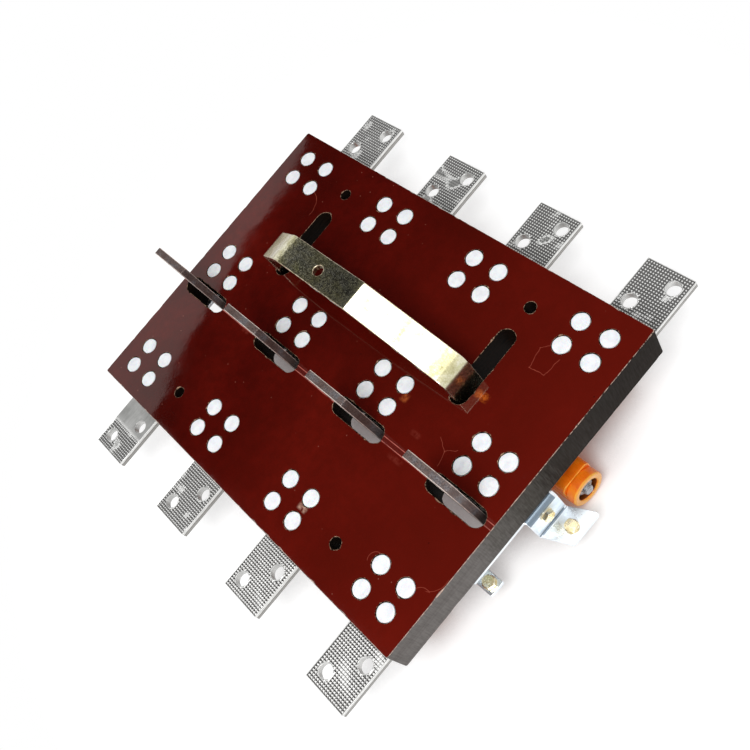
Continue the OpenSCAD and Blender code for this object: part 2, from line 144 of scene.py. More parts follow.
def rectangle(x0, x1, y0, y1, radius, step=1e9, hole=False, count=5):
    """A rectangle with rounded corners, as an outline that runs anticlockwise."""
    return outline([(x0, y0), (x1, y0), (x1, y1), (x0, y1)], radius, step, hole, count)


# %% Plates
def inside(points, loops):
    """True where a point is inside an odd number of loops: a ray to +x from it crosses their edges an odd
    number of times."""
    a = np.concatenate([loop["xy"] for loop in loops])
    b = np.concatenate([np.roll(loop["xy"], -1, 0) for loop in loops])
    x, y = points[:, 0:1], points[:, 1:2]
    spans = (a[:, 1] > y) != (b[:, 1] > y)
    with np.errstate(divide="ignore", invalid="ignore"):
        cross = a[:, 0] + (y - a[:, 1]) / (b[:, 1] - a[:, 1]) * (b[:, 0] - a[:, 0])
    return (spans & (x < cross)).sum(1) % 2 == 1


def fill(loops, loose):
    """Triangles between the loops, through the loose points (a, b): a Delaunay triangulation that keeps the
    loops' edges."""
    xy = np.concatenate([loop["xy"] for loop in loops] + [loose])
    starts = np.cumsum([0] + [len(loop["xy"]) for loop in loops])
    edges = [(i, i + 1 if i + 1 < b else a) for a, b in zip(starts, starts[1:]) for i in range(a, b)]
    verts, _, faces, origin, _, _ = geometry.delaunay_2d_cdt([Vector(p) for p in xy], edges, [], 0, 1e-7)
    verts = np.array([tuple(v) for v in verts])
    source = np.array([o[0] if o else -1 for o in origin])
    faces = np.array(faces)
    return verts, faces[inside(verts[faces].mean(1), loops)], source


def shrink(loop, by):
    """The loop moved into the material by a distance, which may differ from point to point."""
    by = np.broadcast_to(by, len(loop["xy"]))
    return {"xy": loop["xy"] - loop["out"] * by[:, None], "out": loop["out"]}


class Shape:
    """Points, faces and a value of rubbing and painted shade for each point, gathered until they become one
    mesh.
    """

    def __init__(self):
        self.points, self.faces, self.rub_and_painted_light, self.slots, self.count = [], [], [], [], 0

    def add(self, points, faces, rub_and_painted_light=0.0, slot=0):
        """Adds points with their values of rubbing and shade, and faces that number those points from 0."""
        points = np.asarray(points, float)
        self.points.append(points)
        self.rub_and_painted_light.append(np.broadcast_to(np.asarray(rub_and_painted_light, float), len(points)))
        self.faces += [tuple(f) for f in (np.asarray(faces) + self.count).tolist()]
        self.slots += [slot] * len(faces)
        self.count += len(points)

    def placed(self, where):
        """The same shape with where() applied to its points."""
        other = Shape()
        other.points, other.rub_and_painted_light = [where(np.concatenate(self.points))], [np.concatenate(self.rub_and_painted_light)]
        other.faces, other.slots, other.count = list(self.faces), list(self.slots), self.count
        return other

    def at(self, x, y, z):
        """The same shape moved by (x, y, z)."""
        return self.placed(lambda p: p + np.array([x, y, z], float))

    def take(self, other):
        """Adds another shape to this one."""
        self.points += other.points
        self.rub_and_painted_light += other.rub_and_painted_light
        self.faces += [tuple(i + self.count for i in f) for f in other.faces]
        self.slots += other.slots
        self.count += other.count
        return self


def band(rows, closed=True):
    """Quads between rows of points: row i and row i + 1, column j and column j + 1, which wraps round when
    closed."""
    rows_n, columns = rows.shape[:2]
    i, j = np.meshgrid(np.arange(rows_n - 1), np.arange(columns if closed else columns - 1), indexing="ij")
    k = (j + 1) % columns
    quads = np.stack([i * columns + j, i * columns + k, (i + 1) * columns + k, (i + 1) * columns + j], -1)
    return rows.reshape(-1, rows.shape[-1]), quads.reshape(-1, 4)


def edge_rows(loop, radius, top, bottom, steps=3):
    """Rows of points (a, b, depth) down the edge of a plate: a quarter circle in, the wall, and a quarter
    circle out. At angle t from 0 to 90 degrees a row is in by r (1 - sin t) and down by r (1 - cos t)."""
    radius = np.broadcast_to(radius, len(loop["xy"]))
    t = np.linspace(0, np.pi / 2, steps + 1)
    rows = [(radius * (1 - math.sin(a)), top - radius * (1 - math.cos(a))) for a in t]
    rows += [(radius * (1 - math.sin(a)), bottom + radius * (1 - math.cos(a))) for a in t[::-1]]
    return np.stack([np.column_stack([shrink(loop, i)["xy"], d]) for i, d in rows])


def plate(outer, holes=(), top=0.0, bottom=-1.0, edge=0.3, pockets=(), loose=None, under=None, wall_slot=0,
        hole_slot=0, steps=3):
    """A flat piece between two depths, with rounded edges. loose and under are points (a, b, lift, rubbing
    and shade) in the upper and the lower face, where lift is how far a point stands out of it. Pockets are
    (loop, depth): holes in the upper face only."""
    shape = Shape()
    empty = np.zeros((0, 4))
    for loop in [outer, *holes]:
        rows = edge_rows(loop, loop.get("edge", edge), top, bottom, steps)
        rub_and_painted_light = np.zeros(rows.shape[:2])
        rub_and_painted_light[1:steps] = rub_and_painted_light[-steps:-1] = 1
        points, quads = band(rows)
        shape.add(points, quads, rub_and_painted_light.ravel(), wall_slot if loop is outer else hole_slot)
    for loop, depth in pockets:
        rows = edge_rows(loop, loop.get("edge", edge), top, depth, steps)[: steps + 2]
        rows[-1, :, 2] = depth
        centre = rows[-1:].mean(1, keepdims=True) + 0 * rows[-1:]
        rub_and_painted_light = np.zeros((len(rows) + 1, rows.shape[1]))
        rub_and_painted_light[1:steps] = 1
        points, quads = band(np.concatenate([rows, centre]))
        shape.add(points, quads, rub_and_painted_light.ravel(), hole_slot)
    for level, sign, extra, loops in (
        (top, 1, loose, [outer, *holes, *[p[0] for p in pockets]]),
        (bottom, -1, under, [outer, *holes]),
    ):
        extra = empty if extra is None else extra
        rims = [shrink(loop, loop.get("edge", edge)) for loop in loops]
        extra = extra[inside(extra[:, :2], rims)] if len(extra) else extra
        verts, triangles, source = fill(rims, extra[:, :2])
        first = sum(len(r["xy"]) for r in rims)
        own = np.vstack([extra[:, 2:], [[0, 0]]])[np.where(source >= first, source - first, len(extra))]
        shape.add(np.column_stack([verts, level + sign * own[:, 0]]), triangles, own[:, 1])
    return shape


# %% From arrays to a piece
def piece(name, shape, materials, body, stands_for=(), smooth=12):
    """Makes one closed mesh from a shape in millimetres, welds its doubles, turns its faces outwards and
    puts it on a body."""
    mesh = bpy.data.meshes.new(name)
    points = np.concatenate(shape.points) * MM
    mesh.from_pydata(points.tolist(), [], shape.faces)
    rub_and_painted_light = mesh.attributes.new("rub_and_painted_light", "FLOAT", "POINT")
    rub_and_painted_light.data.foreach_set("value", np.concatenate(shape.rub_and_painted_light).astype(np.float32))
    mesh.polygons.foreach_set("material_index", shape.slots)
    work = bmesh.new()
    work.from_mesh(mesh)
    bmesh.ops.remove_doubles(work, verts=work.verts, dist=2e-6)
    bmesh.ops.recalc_face_normals(work, faces=work.faces)
    open_edges = sum(1 for e in work.edges if len(e.link_faces) != 2)
    work.to_mesh(mesh)
    work.free()
    mesh.polygons.foreach_set("use_smooth", [True] * len(mesh.polygons))
    mesh.set_sharp_from_angle(angle=math.radians(smooth))
    for material in materials:
        mesh.materials.append(material)
    obj = bpy.data.objects.new(name, mesh)
    bpy.context.scene.collection.objects.link(obj)
    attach(obj, body)
    if stands_for:
        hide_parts(*stands_for)
    print(f"{name}: {len(mesh.vertices)} points, {len(mesh.polygons)} faces, {open_edges} open edges")
    return obj


def on_rear(points):
    """Plate coordinates (a, b, depth) to the frame, for a plate that faces backwards: a is X, b is Z, depth
    is Y."""
    return points[:, [0, 2, 1]]


def across(points):
    """Plate coordinates (a, b, depth) to the frame, for a plate that faces sideways: a is Y, b is Z, depth
    is X."""
    return points[:, [2, 0, 1]]


def moved(shape, *places):
    """Copies of a shape at several places, as one shape."""
    result = Shape()
    for place in places:
        result.take(shape.at(*place))
    return result


def ripple(x, y, seed, size):
    """A smooth random value from about -1 to 1: the mean of eight sine waves of random direction, phase and
    length."""
    rng = np.random.default_rng(seed)
    angle, phase = rng.uniform(0, 2 * np.pi, (2, 8))
    length = size * rng.uniform(0.6, 2.2, 8)
    wave = np.cos(np.add.outer(x, np.zeros(8)) * np.cos(angle) * 2 * np.pi / length
                  + np.add.outer(y, np.zeros(8)) * np.sin(angle) * 2 * np.pi / length + phase)
    return wave.mean(-1) * 2

# %% [markdown]
# ## Folding, turning and threads
# The yoke, the brackets and the rear bars are flat bars bent at corners, so a flat plate is made first and
# then folded along a line, as in the workshop. Round parts are a profile turned about an axis, and nuts and
# bolt heads are a hexagon with its corners cut by a cone.
# %% Fold a flat plate
def folded(corners, radii):
    """Carries a plate (a, b, depth) along a line of corners in a plane: a runs along the line, b stays, and
    depth goes to the left of it. In a bend of radius r the heading turns by d / r over a length d, and the
    chord of such a stretch is d sin(x) / x long, at x = d / 2r to its start. Returns the placing function,
    where each straight starts as if its corner were sharp, the spans of the bends, and the whole length."""
    p, r = np.array(corners, float), np.array(radii, float)
    edge = np.diff(p, axis=0)
    length = np.linalg.norm(edge, axis=1)
    heading = np.arctan2(edge[:, 1], edge[:, 0])
    turn = (np.diff(heading) + np.pi) % (2 * np.pi) - np.pi
    cut = r * np.tan(abs(turn) / 2)
    spans = np.zeros(2 * len(length) - 1)
    spans[0::2] = length - np.append(0, cut) - np.append(cut, 0)
    spans[1::2] = r * abs(turn)
    curve = np.zeros(len(spans))
    curve[1::2] = np.sign(turn) / r
    starts = np.append(0, np.cumsum(spans))
    head = heading[0] + np.append(0, np.cumsum(curve * spans))[:-1]

    def chord(k, d):
        x = curve[k] * d / 2
        return (d * np.sinc(x / np.pi))[:, None] * np.stack([np.cos(head[k] + x), np.sin(head[k] + x)], 1)

    every = np.arange(len(spans))
    base = p[0] + np.vstack([[0, 0], np.cumsum(chord(every, spans), 0)])[:-1]

    def place(q):
        k = np.clip(np.searchsorted(starts, q[:, 0], "right") - 1, 0, len(spans) - 1)
        d = q[:, 0] - starts[k]
        h = head[k] + curve[k] * d
        xy = base[k] + chord(k, d) + np.stack([-np.sin(h), np.cos(h)], 1) * q[:, 2:3]
        return np.column_stack([xy, q[:, 1]])

    zero = starts[0:-1:2] - np.append(0, cut)
    return place, zero, list(zip(starts[1:-1:2], starts[2:-1:2])), starts[-1]


def bend_points(bends, low, high, gap=2.5, per_bend=7, bend_shade=0.0):
    """Loose points in the bends, in lines across the plate, so that the flat triangles can follow each
    bend. Their last value is the painted shade to give along the bend."""
    lines = np.concatenate([np.linspace(a, b, per_bend) for a, b in bends])
    across_plate = np.arange(low, high + gap / 2, gap)
    a, b = np.meshgrid(lines, across_plate, indexing="ij")
    return np.column_stack([a.ravel(), b.ravel(), 0 * a.ravel(), bend_shade + 0 * a.ravel()])


# %% Turn a profile, and cut a hexagon
def revolved(profile, count, rub_and_painted_light=0.0):
    """Each (radius, height) of a profile turned about the height axis: points (r cos t, r sin t, h)."""
    t, (r, h) = around(count), np.array(profile, float).T[:, :, None]
    points, quads = band(np.stack([r * np.cos(t), r * np.sin(t), h + 0 * t], -1))
    shape = Shape()
    shape.add(points, quads, rub_and_painted_light)
    return shape


def turned(profile, count=32):
    """A solid turned part: its profile starts and ends on the axis, at radius 0."""
    return revolved([(0, profile[0][1]), *profile, (0, profile[-1][1])], count)


def hexagon(flats, low, high, count=48, face=0.94, turn=0.0):
    """A nut or bolt head between two heights. At angle t its flank is at (flats / 2) / cos(t mod 60 - 30),
    and a cone of 30 degrees cuts the corners where the flank is further out than the round face."""
    t = around(count)
    flank = flats / 2 / np.cos(t % (np.pi / 3) - np.pi / 6)
    ring = flats / 2 * face
    drop = (flank - ring) * math.tan(math.radians(30))
    radius = np.stack([0 * t, 0 * t + ring, flank, flank, 0 * t + ring, 0 * t])
    height = np.stack([low + 0 * t, low + 0 * t, low + drop, high - drop, high + 0 * t, high + 0 * t])
    rows = np.stack([radius * np.cos(t + turn), radius * np.sin(t + turn), height], -1)
    rub_and_painted_light = np.zeros(rows.shape[:2])
    rub_and_painted_light[2:4, :: count // 6] = 1
    points, quads = band(rows)
    shape = Shape()
    shape.add(points, quads, rub_and_painted_light.ravel())
    return shape


def thread(radius, low, high, pitch=1.0, count=24):
    """A threaded rod between two heights. Its radius at height h and angle t falls from the crest by 0.99 of
    the pitch times the distance of h / pitch - t / 2 pi from the nearest whole number, and both ends are
    chamfered."""
    rows = int((high - low) / pitch * 4) + 1
    h = np.linspace(low, high, rows)[:, None]
    t = around(count)[None, :]
    phase = h / pitch - t / (2 * np.pi)
    r = radius - 0.99 * pitch * abs(phase - np.round(phase))
    end = np.minimum(h - low, high - h)
    r = np.minimum(r, radius * 0.8 + end * 0.7)
    r, h = np.vstack([0 * t, r, 0 * t]), np.vstack([h[:1], h, h[-1:]]) + 0 * t
    shape = Shape()
    points, quads = band(np.stack([r * np.cos(t), r * np.sin(t), h], -1))
    shape.add(points, quads)
    return shape


def washer(bore, outer, low, high, count=40):
    """A flat ring with slightly rounded rims."""
    e = (high - low) * 0.3
    return revolved([(bore, low), (outer - e, low), (outer, low + e), (outer, high - e), (outer - e, high),
                     (bore, high), (bore, low)], count)


def along_y(points):
    """(x, y, height) of a turned part to the frame, with the height along Y."""
    return points[:, [0, 2, 1]]


def along_x(points):
    """(x, y, height) of a turned part to the frame, with the height along X."""
    return points[:, [2, 0, 1]]


# %% [markdown]
# ## The board
# The board is about 31 mm of laminated insulation, sawn and drilled, then brushed with red lacquer on its
# faces. Lacquer is brittle at a sawn edge, so the rims of the board, its holes and its slots are chipped
# here and there. A bevel modifier would give one even rim, so the width of the rounded edge changes from
# point to point instead.
# %% Board
def chipped(loop, usual, chip, seed, size=9.0):
    """Gives an outline an edge width that is usual in most places and up to chip wider where a smooth random
    value is high."""
    value = ripple(loop["xy"][:, 0], loop["xy"][:, 1], seed, size)
    fine = ripple(loop["xy"][:, 0], loop["xy"][:, 1], seed + 50, size / 4)
    loop["edge"] = usual + chip * np.clip(value * 1.4 - 0.5 + 0.4 * fine, 0, 1)
    return loop


jaw_z = float(np.mean([c[2] for c in box_mm("wax_plugs_top")]))
plug_low, plug_high = box_mm("wax_plugs_centre")
screw_dx = (plug_high[0] - plug_low[0] - 300) / 2 - 7.1
screw_dz = (plug_high[2] - plug_low[2]) / 2 - 7.1
screw_spots = np.array([(pole_x[n] + sx * screw_dx, z + sz * screw_dz)
                        for z in (jaw_z, 0, -jaw_z) for n in POLES for sx in (-1, 1) for sz in (-1, 1)])
hole_dims = mounts["mounting_holes"]["dims"]
yoke_low, yoke_high = box_mm("yoke")
yoke_thick, slot_wide = 4.5, 14.9
leg_x = yoke_high[0] - yoke_thick / 2
slot_low, slot_high = yoke_low[2] - 2, yoke_high[2] + 33 + 5.2

hole_x, hole_z = hole_dims["spacing_x_mm"] / 2, hole_dims["spacing_y_mm"] / 2
slot_half = slot_wide / 2
holes = [circle(sx * hole_x, sz * hole_z, hole_dims["hole_r_mm"], 36) for sx in (-1, 1) for sz in (-1, 1)]
holes += [rectangle(pole_x[n] - 26, pole_x[n] + 26, -37.25, -22.75, 7.24, 1.6, True, 12) for n in POLES]
holes += [rectangle(s * leg_x - slot_half, s * leg_x + slot_half, slot_low, slot_high, slot_half - 0.01, 1.6,
                    True, 12) for s in (-1, 1)]
holes = [chipped(h, 0.35, 0.9, 10 + i, 7) for i, h in enumerate(holes)]
pockets = [(chipped(circle(x, z, 7.1, 48), 0.15, 0.75, 100 + i, 5), -9.0)
           for i, (x, z) in enumerate(screw_spots)]
rim = rectangle(board_low[0], board_high[0], board_low[2], board_high[2], 1.7, 1.8)
board_shape = plate(chipped(rim, 0.4, 0.6, 3, 14), holes, 0, board_low[1], pockets=pockets, wall_slot=1,
    hole_slot=2).placed(on_rear)
print("board outline points", len(rim["xy"]), "holes", len(holes), "plug holes", len(pockets))

# %% [markdown]
# ## The wax plugs
# Each sunk hole is filled with melted white wax and scraped off level, which leaves a nearly flat disc
# whose rim is uneven where the scraper caught it. A disc with a wandering radius and a faint dome does
# that.
# %% Wax plugs
def wax_plug(x, z, seed):
    """A disc whose rim is at r = 6.62 + 0.14 ripple. Its face is a faint dome, higher by 0.12 (1 - (r /
    6.9)^2)."""
    loop = circle(x, z, 6.62, 56, hole=False)
    wander = ripple(loop["xy"][:, 0], loop["xy"][:, 1], seed, 6)
    loop["xy"] = loop["xy"] + loop["out"] * (0.14 * wander)[:, None]
    loop["edge"] = 0.35 + 0.25 * np.clip(ripple(loop["xy"][:, 0], loop["xy"][:, 1], seed + 9, 4), 0, 1)
    r, t = np.meshgrid(np.linspace(0.6, 5.8, 7), around(16), indexing="ij")
    a, b = x + (r * np.cos(t)).ravel(), z + (r * np.sin(t)).ravel()
    lift = 0.12 * (1 - (r.ravel() / 6.9) ** 2) + 0.05 * ripple(a, b, seed + 3, 5)
    return plate(loop, top=-0.16, bottom=-5.0, loose=np.column_stack([a, b, lift, 0 * a])).placed(on_rear)


ROWS = {"top": jaw_z, "centre": 0.0, "bottom": -jaw_z}
row_spots = {row: screw_spots[abs(screw_spots[:, 1] - z) < 20] for row, z in ROWS.items()}
wax_rows = {}
for row, z in ROWS.items():
    wax_rows[row] = Shape()
    for i, (x, z_plug) in enumerate(row_spots[row]):
        wax_rows[row].take(wax_plug(x, z_plug, 300 + i + int(z)))
print("wax plugs in a row:", len(screw_spots) // 3)

# %% [markdown]
# ## The contact screws
# Plain hexagon screws: the head is in the board under the wax, and on the front a washer, a nut and a
# little thread show. One screw is made and copied to the sixteen places of a row.
# %% Contact screws
one_screw = Shape()
one_screw.take(hexagon(10, -9, -5, turn=math.pi / 6)).take(turned([(3, -38), (3, -8)], 24))
one_screw.take(washer(3.0, 6.0, foot_y - 0.9, foot_y))
one_screw.take(hexagon(10, foot_y - 5, foot_y - 0.9, turn=math.pi / 6))
one_screw.take(thread(3.0, foot_y - 6.5, foot_y + 2))
one_screw = one_screw.placed(along_y)
screw_rows = {row: moved(one_screw, *[(x, 0, z) for x, z in row_spots[row]]) for row in ROWS}
print("points in one screw", one_screw.count)

# %% [markdown]
# ## The terminal bars
# Flat copper bar, tinned, with a knurl rolled into the cable end so that a cable lug bites into it. A knurl
# is a grid of small blunt pyramids. Here the grooves and the flat tops between them are loose points in the
# bar's face, and the grooves are pressed in less where the knurl has worn away, which is in another place
# on every bar.
# %% Knurled faces
KNURL = 2.25
KNURL_DEEP = 0.4


def knurl(x0, x1, z0, z1, worn_away, margin=0.9, pitch=KNURL, deep=KNURL_DEEP):
    """Points of a knurl: V grooves along both ways of a square grid, pressed in by deep (1 - w), and between
    them small flat tops at the face's own level, with a half width of pitch (0.13 + 0.25 w), where w =
    worn_away(x, z) from 0 to 1. Their value is w - 1 in the grooves, where the finish paints shade, and
    0.3 (w - 1) on the tops, so the finish can tell both from a plain face, at 0."""
    nx, nz = round((x1 - x0 - 2 * margin) / pitch), round((z1 - z0 - 2 * margin) / pitch)
    gx = np.linspace(x0 + margin, x1 - margin, 2 * nx + 1)
    gz = np.linspace(z0 + margin, z1 - margin, 2 * nz + 1)
    i, j = np.meshgrid(np.arange(2 * nx + 1), np.arange(2 * nz + 1), indexing="ij")
    groove = (i % 2 == 0) | (j % 2 == 0)
    x, z = gx[i[groove]], gz[j[groove]]
    kept = 1 - np.clip(worn_away(x, z), 0, 1)
    grooves = np.column_stack([x, z, -deep * kept, -kept])
    x, z = gx[i[~groove]], gz[j[~groove]]
    kept = 1 - np.clip(worn_away(x, z), 0, 1)
    half = pitch * (0.38 - 0.25 * kept)
    tops = [np.column_stack([x + sx * half, z + sz * half, 0 * x, -0.3 * kept])
            for sx in (-1, 1) for sz in (-1, 1)]
    return np.vstack([grooves, *tops])


def patchy(seed, amount, smooth_from=None, smooth_to=None, size=16.0):
    """How much of a knurl is rubbed away at (x, z): a smooth random value above a limit, and all of it in
    one band of z."""
    def worn_away(x, z):
        w = np.clip((ripple(x, z, seed, size) + amount) * 1.1, 0, 0.8)
        if smooth_from is not None:
            band_low = np.clip((abs(z) - smooth_from) / 5, 0, 1)
            band_high = np.clip((smooth_to - abs(z)) / 5, 0, 1)
            w = np.maximum(w, np.minimum(band_low, band_high))
        return w
    return worn_away


lug_r = 5.5
bar_wear = {("top", 4): patchy(1, -0.3), ("top", 3): patchy(2, -0.15),
            ("top", 2): patchy(3, -0.3), ("top", 1): patchy(4, -0.5),
            ("bottom", 4): patchy(5, -0.4, 128, 164), ("bottom", 3): patchy(6, -0.5, 128, 141),
            ("bottom", 2): patchy(7, -0.35, size=26), ("bottom", 1): patchy(8, -0.25, size=26)}


def terminal_bar(n, up):
    """A bar up or down the board, knurled past the board's edge, with two cable holes set diagonally."""
    row = "top" if up > 0 else "bottom"
    x0, x1 = pole_x[n] - BAR_HALF, pole_x[n] + BAR_HALF
    z0, z1 = sorted([up * bar_low[2], up * bar_high[2]])
    k0, k1 = sorted([up * (board_high[2] + 0.6), up * bar_high[2]])
    cable_holes = [circle(pole_x[n] - up * 10, up * (bar_high[2] - 12), lug_r, 36),
                   circle(pole_x[n] + up * 10, up * (bar_high[2] - 34), lug_r, 36)]
    grid = knurl(x0, x1, k0, k1, bar_wear[row, n])
    for hole in cable_holes:
        hole["edge"] = 0.25 + 0 * hole["xy"][:, 0]
        centre = hole["xy"].mean(0)
        grid = grid[np.linalg.norm(grid[:, :2] - centre, axis=1) > lug_r + 0.75]
    bar = plate(rectangle(x0, x1, z0, z1, 0.6, 2.1), cable_holes, bar_high[1], bar_low[1], 0.4, loose=grid,
        under=grid, wall_slot=1)
    return bar.placed(on_rear)


# %% Rear bars
half = bar_thick / 2
middle_z, middle_y = rear_low[2] + half, board_low[1] - half
rear_corners = [(rear_high[1], middle_z), (middle_y, middle_z), (middle_y, rear_high[2])]
rear_fold, _, rear_bends, rear_length = folded(rear_corners, [2 + half])


def rear_bar(n):
    """A bar folded at right angles behind the hinge clip. Its cable end, the last 26 mm, is knurled on both
    faces."""
    x = pole_x[n]
    grid = knurl(0, 27, -BAR_HALF, BAR_HALF, patchy(20 + n, 0.0, size=10))
    loose = np.vstack([grid, bend_points(rear_bends, 1 - BAR_HALF, BAR_HALF - 1)])
    flat = plate(rectangle(0, rear_length, -BAR_HALF, BAR_HALF, 1.0, 1.5), (), half, -half, 0.6, loose=loose,
        under=loose, wall_slot=1)
    return flat.placed(rear_fold).placed(lambda p: p[:, [2, 0, 1]] + np.array([x, 0, 0]))


print("knurl pitch", KNURL, "mm; rear bar length before folding", round(rear_length, 1), "mm")

# %% [markdown]
# ## The contacts and knives
# These are on the front. A jaw is two springy copper strips bent to an L with turned-out lips, a hinge clip
# is the same with round ends and a pin, and a knife is a flat copper blade with a rounded tip.
# %% Jaws, clips and knives
def strip(side, corners, radii, width_foot, width_leaf, round_end, hole_at=None):
    """An L-shaped strip: a foot of one width, then a leaf of another, folded along corners (x, y)."""
    fold, _, bends, length = folded([(side * x, y) for x, y in corners], radii)
    foot_end = bends[0][0] - 0.5
    a, b = width_foot / 2, width_leaf / 2
    corners = [(0, -a), (foot_end, -a), (foot_end + 1.2, -b), (length, -b),
               (length, b), (foot_end + 1.2, b), (foot_end, a), (0, a)]
    flat = outline(corners, [1.5, 0.6, 0.5, round_end, round_end, 0.5, 0.6, 1.5], 1.8, count=8)
    holes = [] if hole_at is None else [circle(length - hole_at, 0, 5.02, 32)]
    loose = bend_points(bends, -b + 1, b - 1)
    return plate(flat, holes, 1.25, -1.25, 0.35, loose=loose, under=loose).placed(fold)


strip_y = foot_y + 1.4


def contact(n, z, hinge=False):
    """Two L strips, one on each side of the knife."""
    corners = [(20, strip_y), (4.55, strip_y)]
    if hinge:
        corners += [(4.55, -80.5)]
        radii, width, end, hole = [3.0], 28.0, 13.9, 14.0
    else:
        corners += [(4.55, -76.0), (6.5, -80.9)]
        radii, width, end, hole = [3.0, 8.0], 30.0, 4.0, None
    shape = Shape()
    for side in (-1, 1):
        shape.take(strip(side, corners, radii, 32.1, width, end, hole))
    return shape.at(pole_x[n], 0, z)


HINGE_Y, BAR_Z = -66.5, 33.6  # the hinge pins' depth, and the crossbar's height above them
knife_low, knife_high = box_mm("knife_1")


def knife(n):
    """A blade 6 mm thick with a half-round heel about its pin and a rounded tip."""
    (y0, z0), (y1, z1) = knife_low[1:], knife_high[1:]
    blade = outline([(y0, z0), (y1, z0), (y1, z1), (y0, z1)], [14.95, 14.95, 6, 6], 3.0, count=14)
    bores = [circle((y0 + y1) / 2, 0, 5.05, 32), circle((y0 + y1) / 2, BAR_Z, 4.0, 32)]
    return plate(blade, bores, 3, -3, 0.7).placed(across).at(pole_x[n], 0, 0)


def hinge_pin(n):
    """A pin with a domed head on one side, and a washer, a nut and its own thread on the other."""
    pin = Shape()
    pin.take(turned([(6.5, -8.8), (7.6, -8.4), (8, -7.6), (8, -5.9), (5, -5.85), (5, 5.9), (5, 5.9)], 40))
    pin.take(washer(5.0, 9.3, 5.82, 6.6)).take(hexagon(16.4, 6.6, 10.3)).take(thread(5.0, 4.0, 11.75, 1.25))
    return pin.placed(along_x).at(pole_x[n], HINGE_Y, 0)


print("knife", (knife_high - knife_low).round(1))

# %% [markdown]
# ## The crossbar
# A steel rod ties the knives together. Orange moulded sleeves, square with round corners, keep them apart,
# and at each end a round collar has a recess that hides the rod's nut.
# %% Crossbar
rod_end, recess_r = 190.0, 9


def at_bar(points):
    """Moves a piece made about the X axis to the crossbar."""
    return points + np.array([0, HINGE_Y, BAR_Z])


def sleeve(x0, x1, pocket=None):
    """A rounded square carried from x0 to x1."""
    square = rectangle(-13.5, 13.5, -13.5, 13.5, 5, 4.0, count=10)
    pockets = [(circle(0, 0, recess_r, 48), pocket)] if pocket else []
    return plate(square, (), x1, x0, 0.7, pockets=pockets).placed(across)


def collar():
    """The round end of a sleeve, turned: a ring with a rounded rim around the recess."""
    profile = [(9, 180.9), (9.05, 187.8), (9.3, 188.5), (9.9, 188.95), (10.6, 189), (12.6, 189),
               (13.4, 188.8), (13.85, 188.3), (14, 187.5), (14, 182.0), (13.8, 181.3), (13.3, 181.0),
               (9, 180.9)]
    r, h = np.array(profile).T
    # The front face gets 1, which the orange finish paints as a yellow highlight, and the recess wall -1,
    # which it paints as dark shade.
    ring = revolved(profile, 64, np.repeat((h > 188.2) * 1.0 - (r < 9.2) * 1.0, 64))
    return ring.placed(along_x)


sleeves = Shape()
for n in (1, 2, 3):
    sleeves.take(sleeve(pole_x[n] + 3.1, pole_x[n + 1] - 3.1))
end_sleeve = Shape().take(sleeve(153.1, 181, 180.0)).take(collar())
for s in (-1, 1):
    sleeves.take(end_sleeve.placed(lambda p: p * np.array([s, 1, 1])))
sleeves = sleeves.placed(at_bar)

rod = turned([(4, -184), (4, 184)], 32)
rod_tip = Shape().take(thread(4.0, 175, rod_end, 1.25))
rod_tip.take(washer(4.0, 8.2, 180, 181.2)).take(hexagon(13, 181.2, 186.2))
for s in (-1, 1):
    rod.take(rod_tip.placed(lambda p: p * np.array([1, 1, s])))
rod = rod.placed(along_x).placed(at_bar)
print("sleeve points", sleeves.count, "rod points", rod.count)

# %% [markdown]
# ## The yoke
# A flat steel bar 24 mm wide, bent cold into an arch that is flat on top, steep on one side and long on the
# other, and yellow passivated. The flat bar is made with its hole and folded at six corners.
# %% Yoke and crosspiece
heel_y = -36 - yoke_thick / 2
top_y = yoke_high[1] - yoke_thick / 2
yoke_fold, yoke_zero, yoke_bends, yoke_length = folded(
    [(-leg_x + 20, heel_y), (-leg_x, heel_y), (-leg_x, 23.5), (-15, top_y), (65, top_y),
     (leg_x, 23.5), (leg_x, heel_y), (leg_x - 20, heel_y)],
    [4.5, 7, 4, 13, 7, 4.5])
yoke_hole = circle(yoke_zero[3] + 40, 0, 4.25, 40)
yoke_hole["edge"] = 0.7 + 0 * yoke_hole["xy"][:, 0]
yoke_points = bend_points(yoke_bends, -11, 11, per_bend=9)
half_wide = (yoke_high[2] - yoke_low[2]) / 2
yoke_rim = chipped(rectangle(0, yoke_length, -half_wide, half_wide, 1.0, 1.5), 0.55, 0.3, 77, 30)
yoke_flat = plate(yoke_rim, [yoke_hole], yoke_thick / 2, -yoke_thick / 2, 0.6, loose=yoke_points,
    under=yoke_points)
yoke_mid_z = (yoke_low[2] + yoke_high[2]) / 2
yoke_shape = yoke_flat.placed(yoke_fold).at(0, 0, yoke_mid_z)

cross = plate(rectangle(-leg_x, leg_x, yoke_low[2], yoke_high[2], 1.5, 4.0), (), -40.5, -45,
    0.5).placed(on_rear)
dome = turned([(1.6, -46.0), (1.9, -47.35), (3.2, -47.35), (4.6, -46.8), (5.4, -45.8), (5.5, -45.0),
    (3, -44.9), (3, -36.2)], 36)
for s in (-1, 1):
    cross.take(dome.placed(along_y).at(s * 91.75, 0, yoke_mid_z))
print("yoke bar length before bending", round(yoke_length, 1), "mm")

